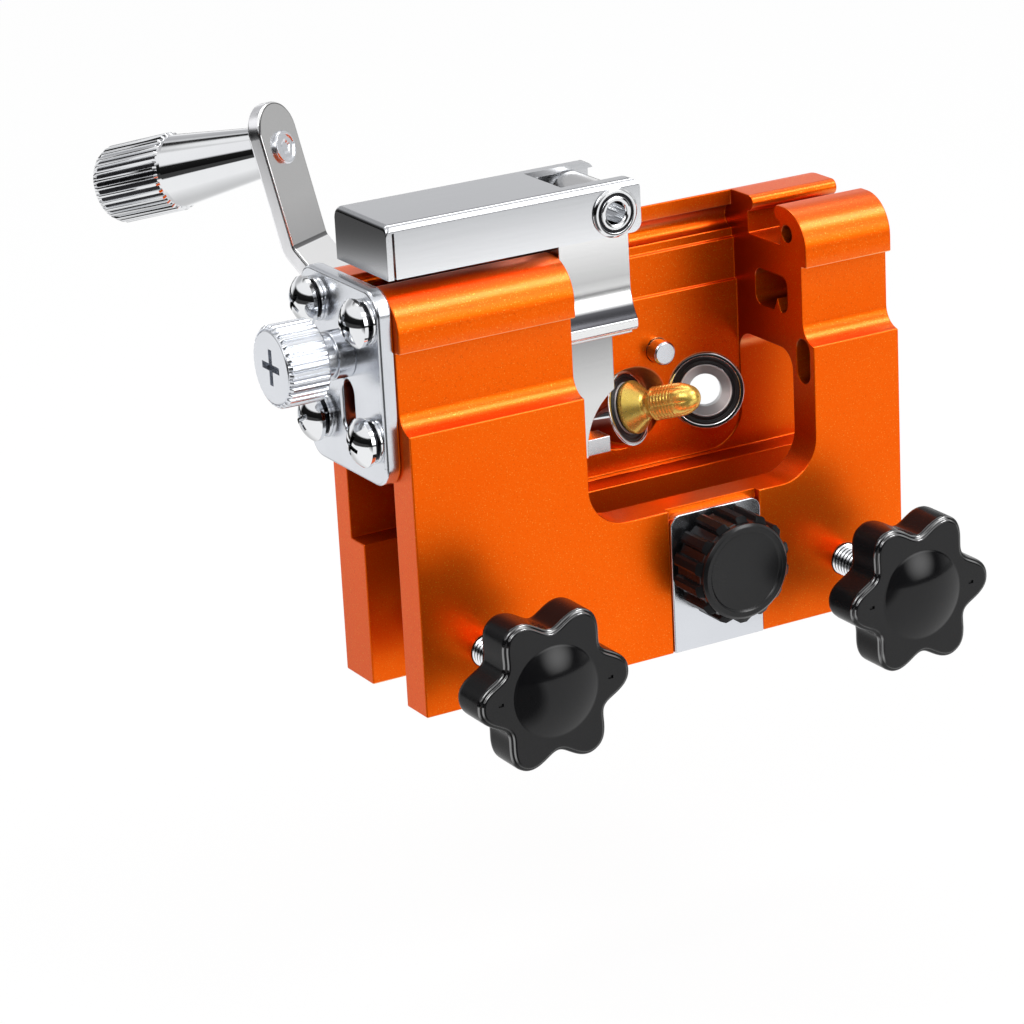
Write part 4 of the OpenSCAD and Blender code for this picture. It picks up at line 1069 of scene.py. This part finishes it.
FLOOR_Z, FLOOR_R, LIT_R, LIT_EDGE, LEFT_CUT = -0.09, 9.0, 1.1, 0.12, 0.3
CARD_WAY, SHADE_AT, SHADE_R, SHADE_EDGE = (-0.485, -0.874, 0.0), (-0.08, 0.24, FLOOR_Z), 0.18, 0.1


def floor_material():
    """Pale floor: white to the camera with a soft shadow, and dark in reflections but near the part."""
    material = bpy.data.materials.new("pale_floor")
    material.use_nodes = True
    graph = Graph(material.node_tree)
    at = graph.coords()
    far = graph.length(at)
    sideways = graph.parts(at)[0] / far
    leftward = ((sideways * -1.0 - 0.78) * 8.0).clipped()
    near = ((LIT_R - leftward * LEFT_CUT - far) / LIT_EDGE + 0.5).clipped()
    aside = ((sideways - 0.75) * 6.0).clipped()
    card = ((graph.along(at, CARD_WAY) / far - 0.82) * 14.0).clipped()
    # painted shadow: a soft dark patch behind the part, seen only in reflections of the floor
    shadow = ((SHADE_R - graph.length(graph.apart(at, SHADE_AT))) / SHADE_EDGE).clipped()
    shade = graph.add("ShaderNodeBsdfDiffuse", inputs={"Color": (0.86, 0.86, 0.86, 1.0)})
    path = graph.node("ShaderNodeLightPath")
    eye, shine, through = (Value(graph, path.outputs[f"Is {kind} Ray"])
                           for kind in ("Camera", "Glossy", "Transmission"))
    direct = (eye + through).clipped()
    mirrored = (near * 0.95 + 0.05 + aside * 0.4).clipped() * (1.0 - card * 0.9) * (1.0 - shadow * 0.35)
    tone = (direct + shine * mirrored).clipped()
    glow = graph.add("ShaderNodeEmission", inputs={
        "Color": graph.blend(tone, (0.0, 0.0, 0.0), (1.0, 1.0, 1.0)), "Strength": 1.0})
    both = graph.add("ShaderNodeMixShader", inputs={0: direct * 0.93 + shine, 1: shade, 2: glow})
    graph.node("ShaderNodeOutputMaterial", inputs={"Surface": both})
    return material


sheet = bmesh.new()
bmesh.ops.create_circle(sheet, cap_ends=True, segments=64, radius=FLOOR_R)
floor_mesh = bpy.data.meshes.new("floor")
bmesh.ops.translate(sheet, vec=(0, 0, FLOOR_Z), verts=sheet.verts)
sheet.to_mesh(floor_mesh)
sheet.free()
floor_mesh.materials.append(floor_material())
held("floor", floor_mesh)

world = bpy.data.worlds.new("studio")
scene.world = world
world.use_nodes = True
sky = Graph(world.node_tree)
ray = sky.add("ShaderNodeTexCoord", out="Generated")
aside, back, rise = sky.parts(ray)
behind = (back * 1.8 + 0.1).clipped()
COOL = (0.85, 0.85, 0.86)
wall = sky.ramp(rise, [
    (0.0, 0.98), (0.22, (0.95, 0.95, 0.96)), (0.30, (0.58, 0.58, 0.59)), (0.55, (0.46, 0.46, 0.47)),
    (0.645, (0.75, 0.75, 0.76)), (0.665, 0.03), (0.715, 0.03), (0.735, 1.0), (1.0, COOL)])
leftward = sky.ramp(rise, [(0.0, 0.006), (0.30, 0.012), (0.37, (0.95, 0.95, 0.96)), (1.0, 1.0)])
room = sky.ramp(rise, [(0.0, 0.006), (0.28, 0.015), (0.48, (0.50, 0.50, 0.51)), (0.66, 1.0), (1.0, COOL)])
BLOOM_WAY, BLOOM_EDGE = Vector((0.46, -0.85, 0.25)).normalized(), 0.065
bloom = ((sky.along(ray, BLOOM_WAY) - (1.0 - BLOOM_EDGE)) / BLOOM_EDGE).clipped() ** 1.4
rightward = sky.ramp(rise, [(0.0, 0.75), (0.2, 0.6), (0.38, 1.0), (1.0, 0.95)])
across_room = sky.blend(((aside - 0.78) * 7.0).clipped(), sky.blend(behind, room, wall), rightward)
enclosed = sky.blend(((aside * -1.0 - 0.4) * 5.0).clipped(), across_room, leftward)
studio = sky.blend(bloom, enclosed, (4.2, 4.2, 4.2))
sky.node("ShaderNodeOutputWorld", inputs={"Surface": sky.add("ShaderNodeBackground", inputs={
    "Color": studio, "Strength": 1.0})})

LAMPS_AIM = Vector((0, 0, 0.04))


def softbox(name, at, size, power):
    """A rectangular area lamp that faces the middle of the part."""
    lamp = bpy.data.lights.new(name, "AREA")
    lamp.shape, lamp.size, lamp.size_y, lamp.energy = "RECTANGLE", size[0], size[1], power
    obj = bpy.data.objects.new(name, lamp)
    scene.collection.objects.link(obj)
    obj.location = at
    obj.rotation_euler = (LAMPS_AIM - Vector(at)).to_track_quat("-Z", "Y").to_euler()


softbox("key_box", (0.62, -0.62, 1.0), (0.7, 0.28), 5.0)
softbox("side_box", (-0.75, -0.6, 0.95), (0.5, 0.5), 4.0)
softbox("top_strip", (0.05, 0.35, 1.0), (1.1, 0.22), 3.0)

scene.view_settings.view_transform = "Standard"
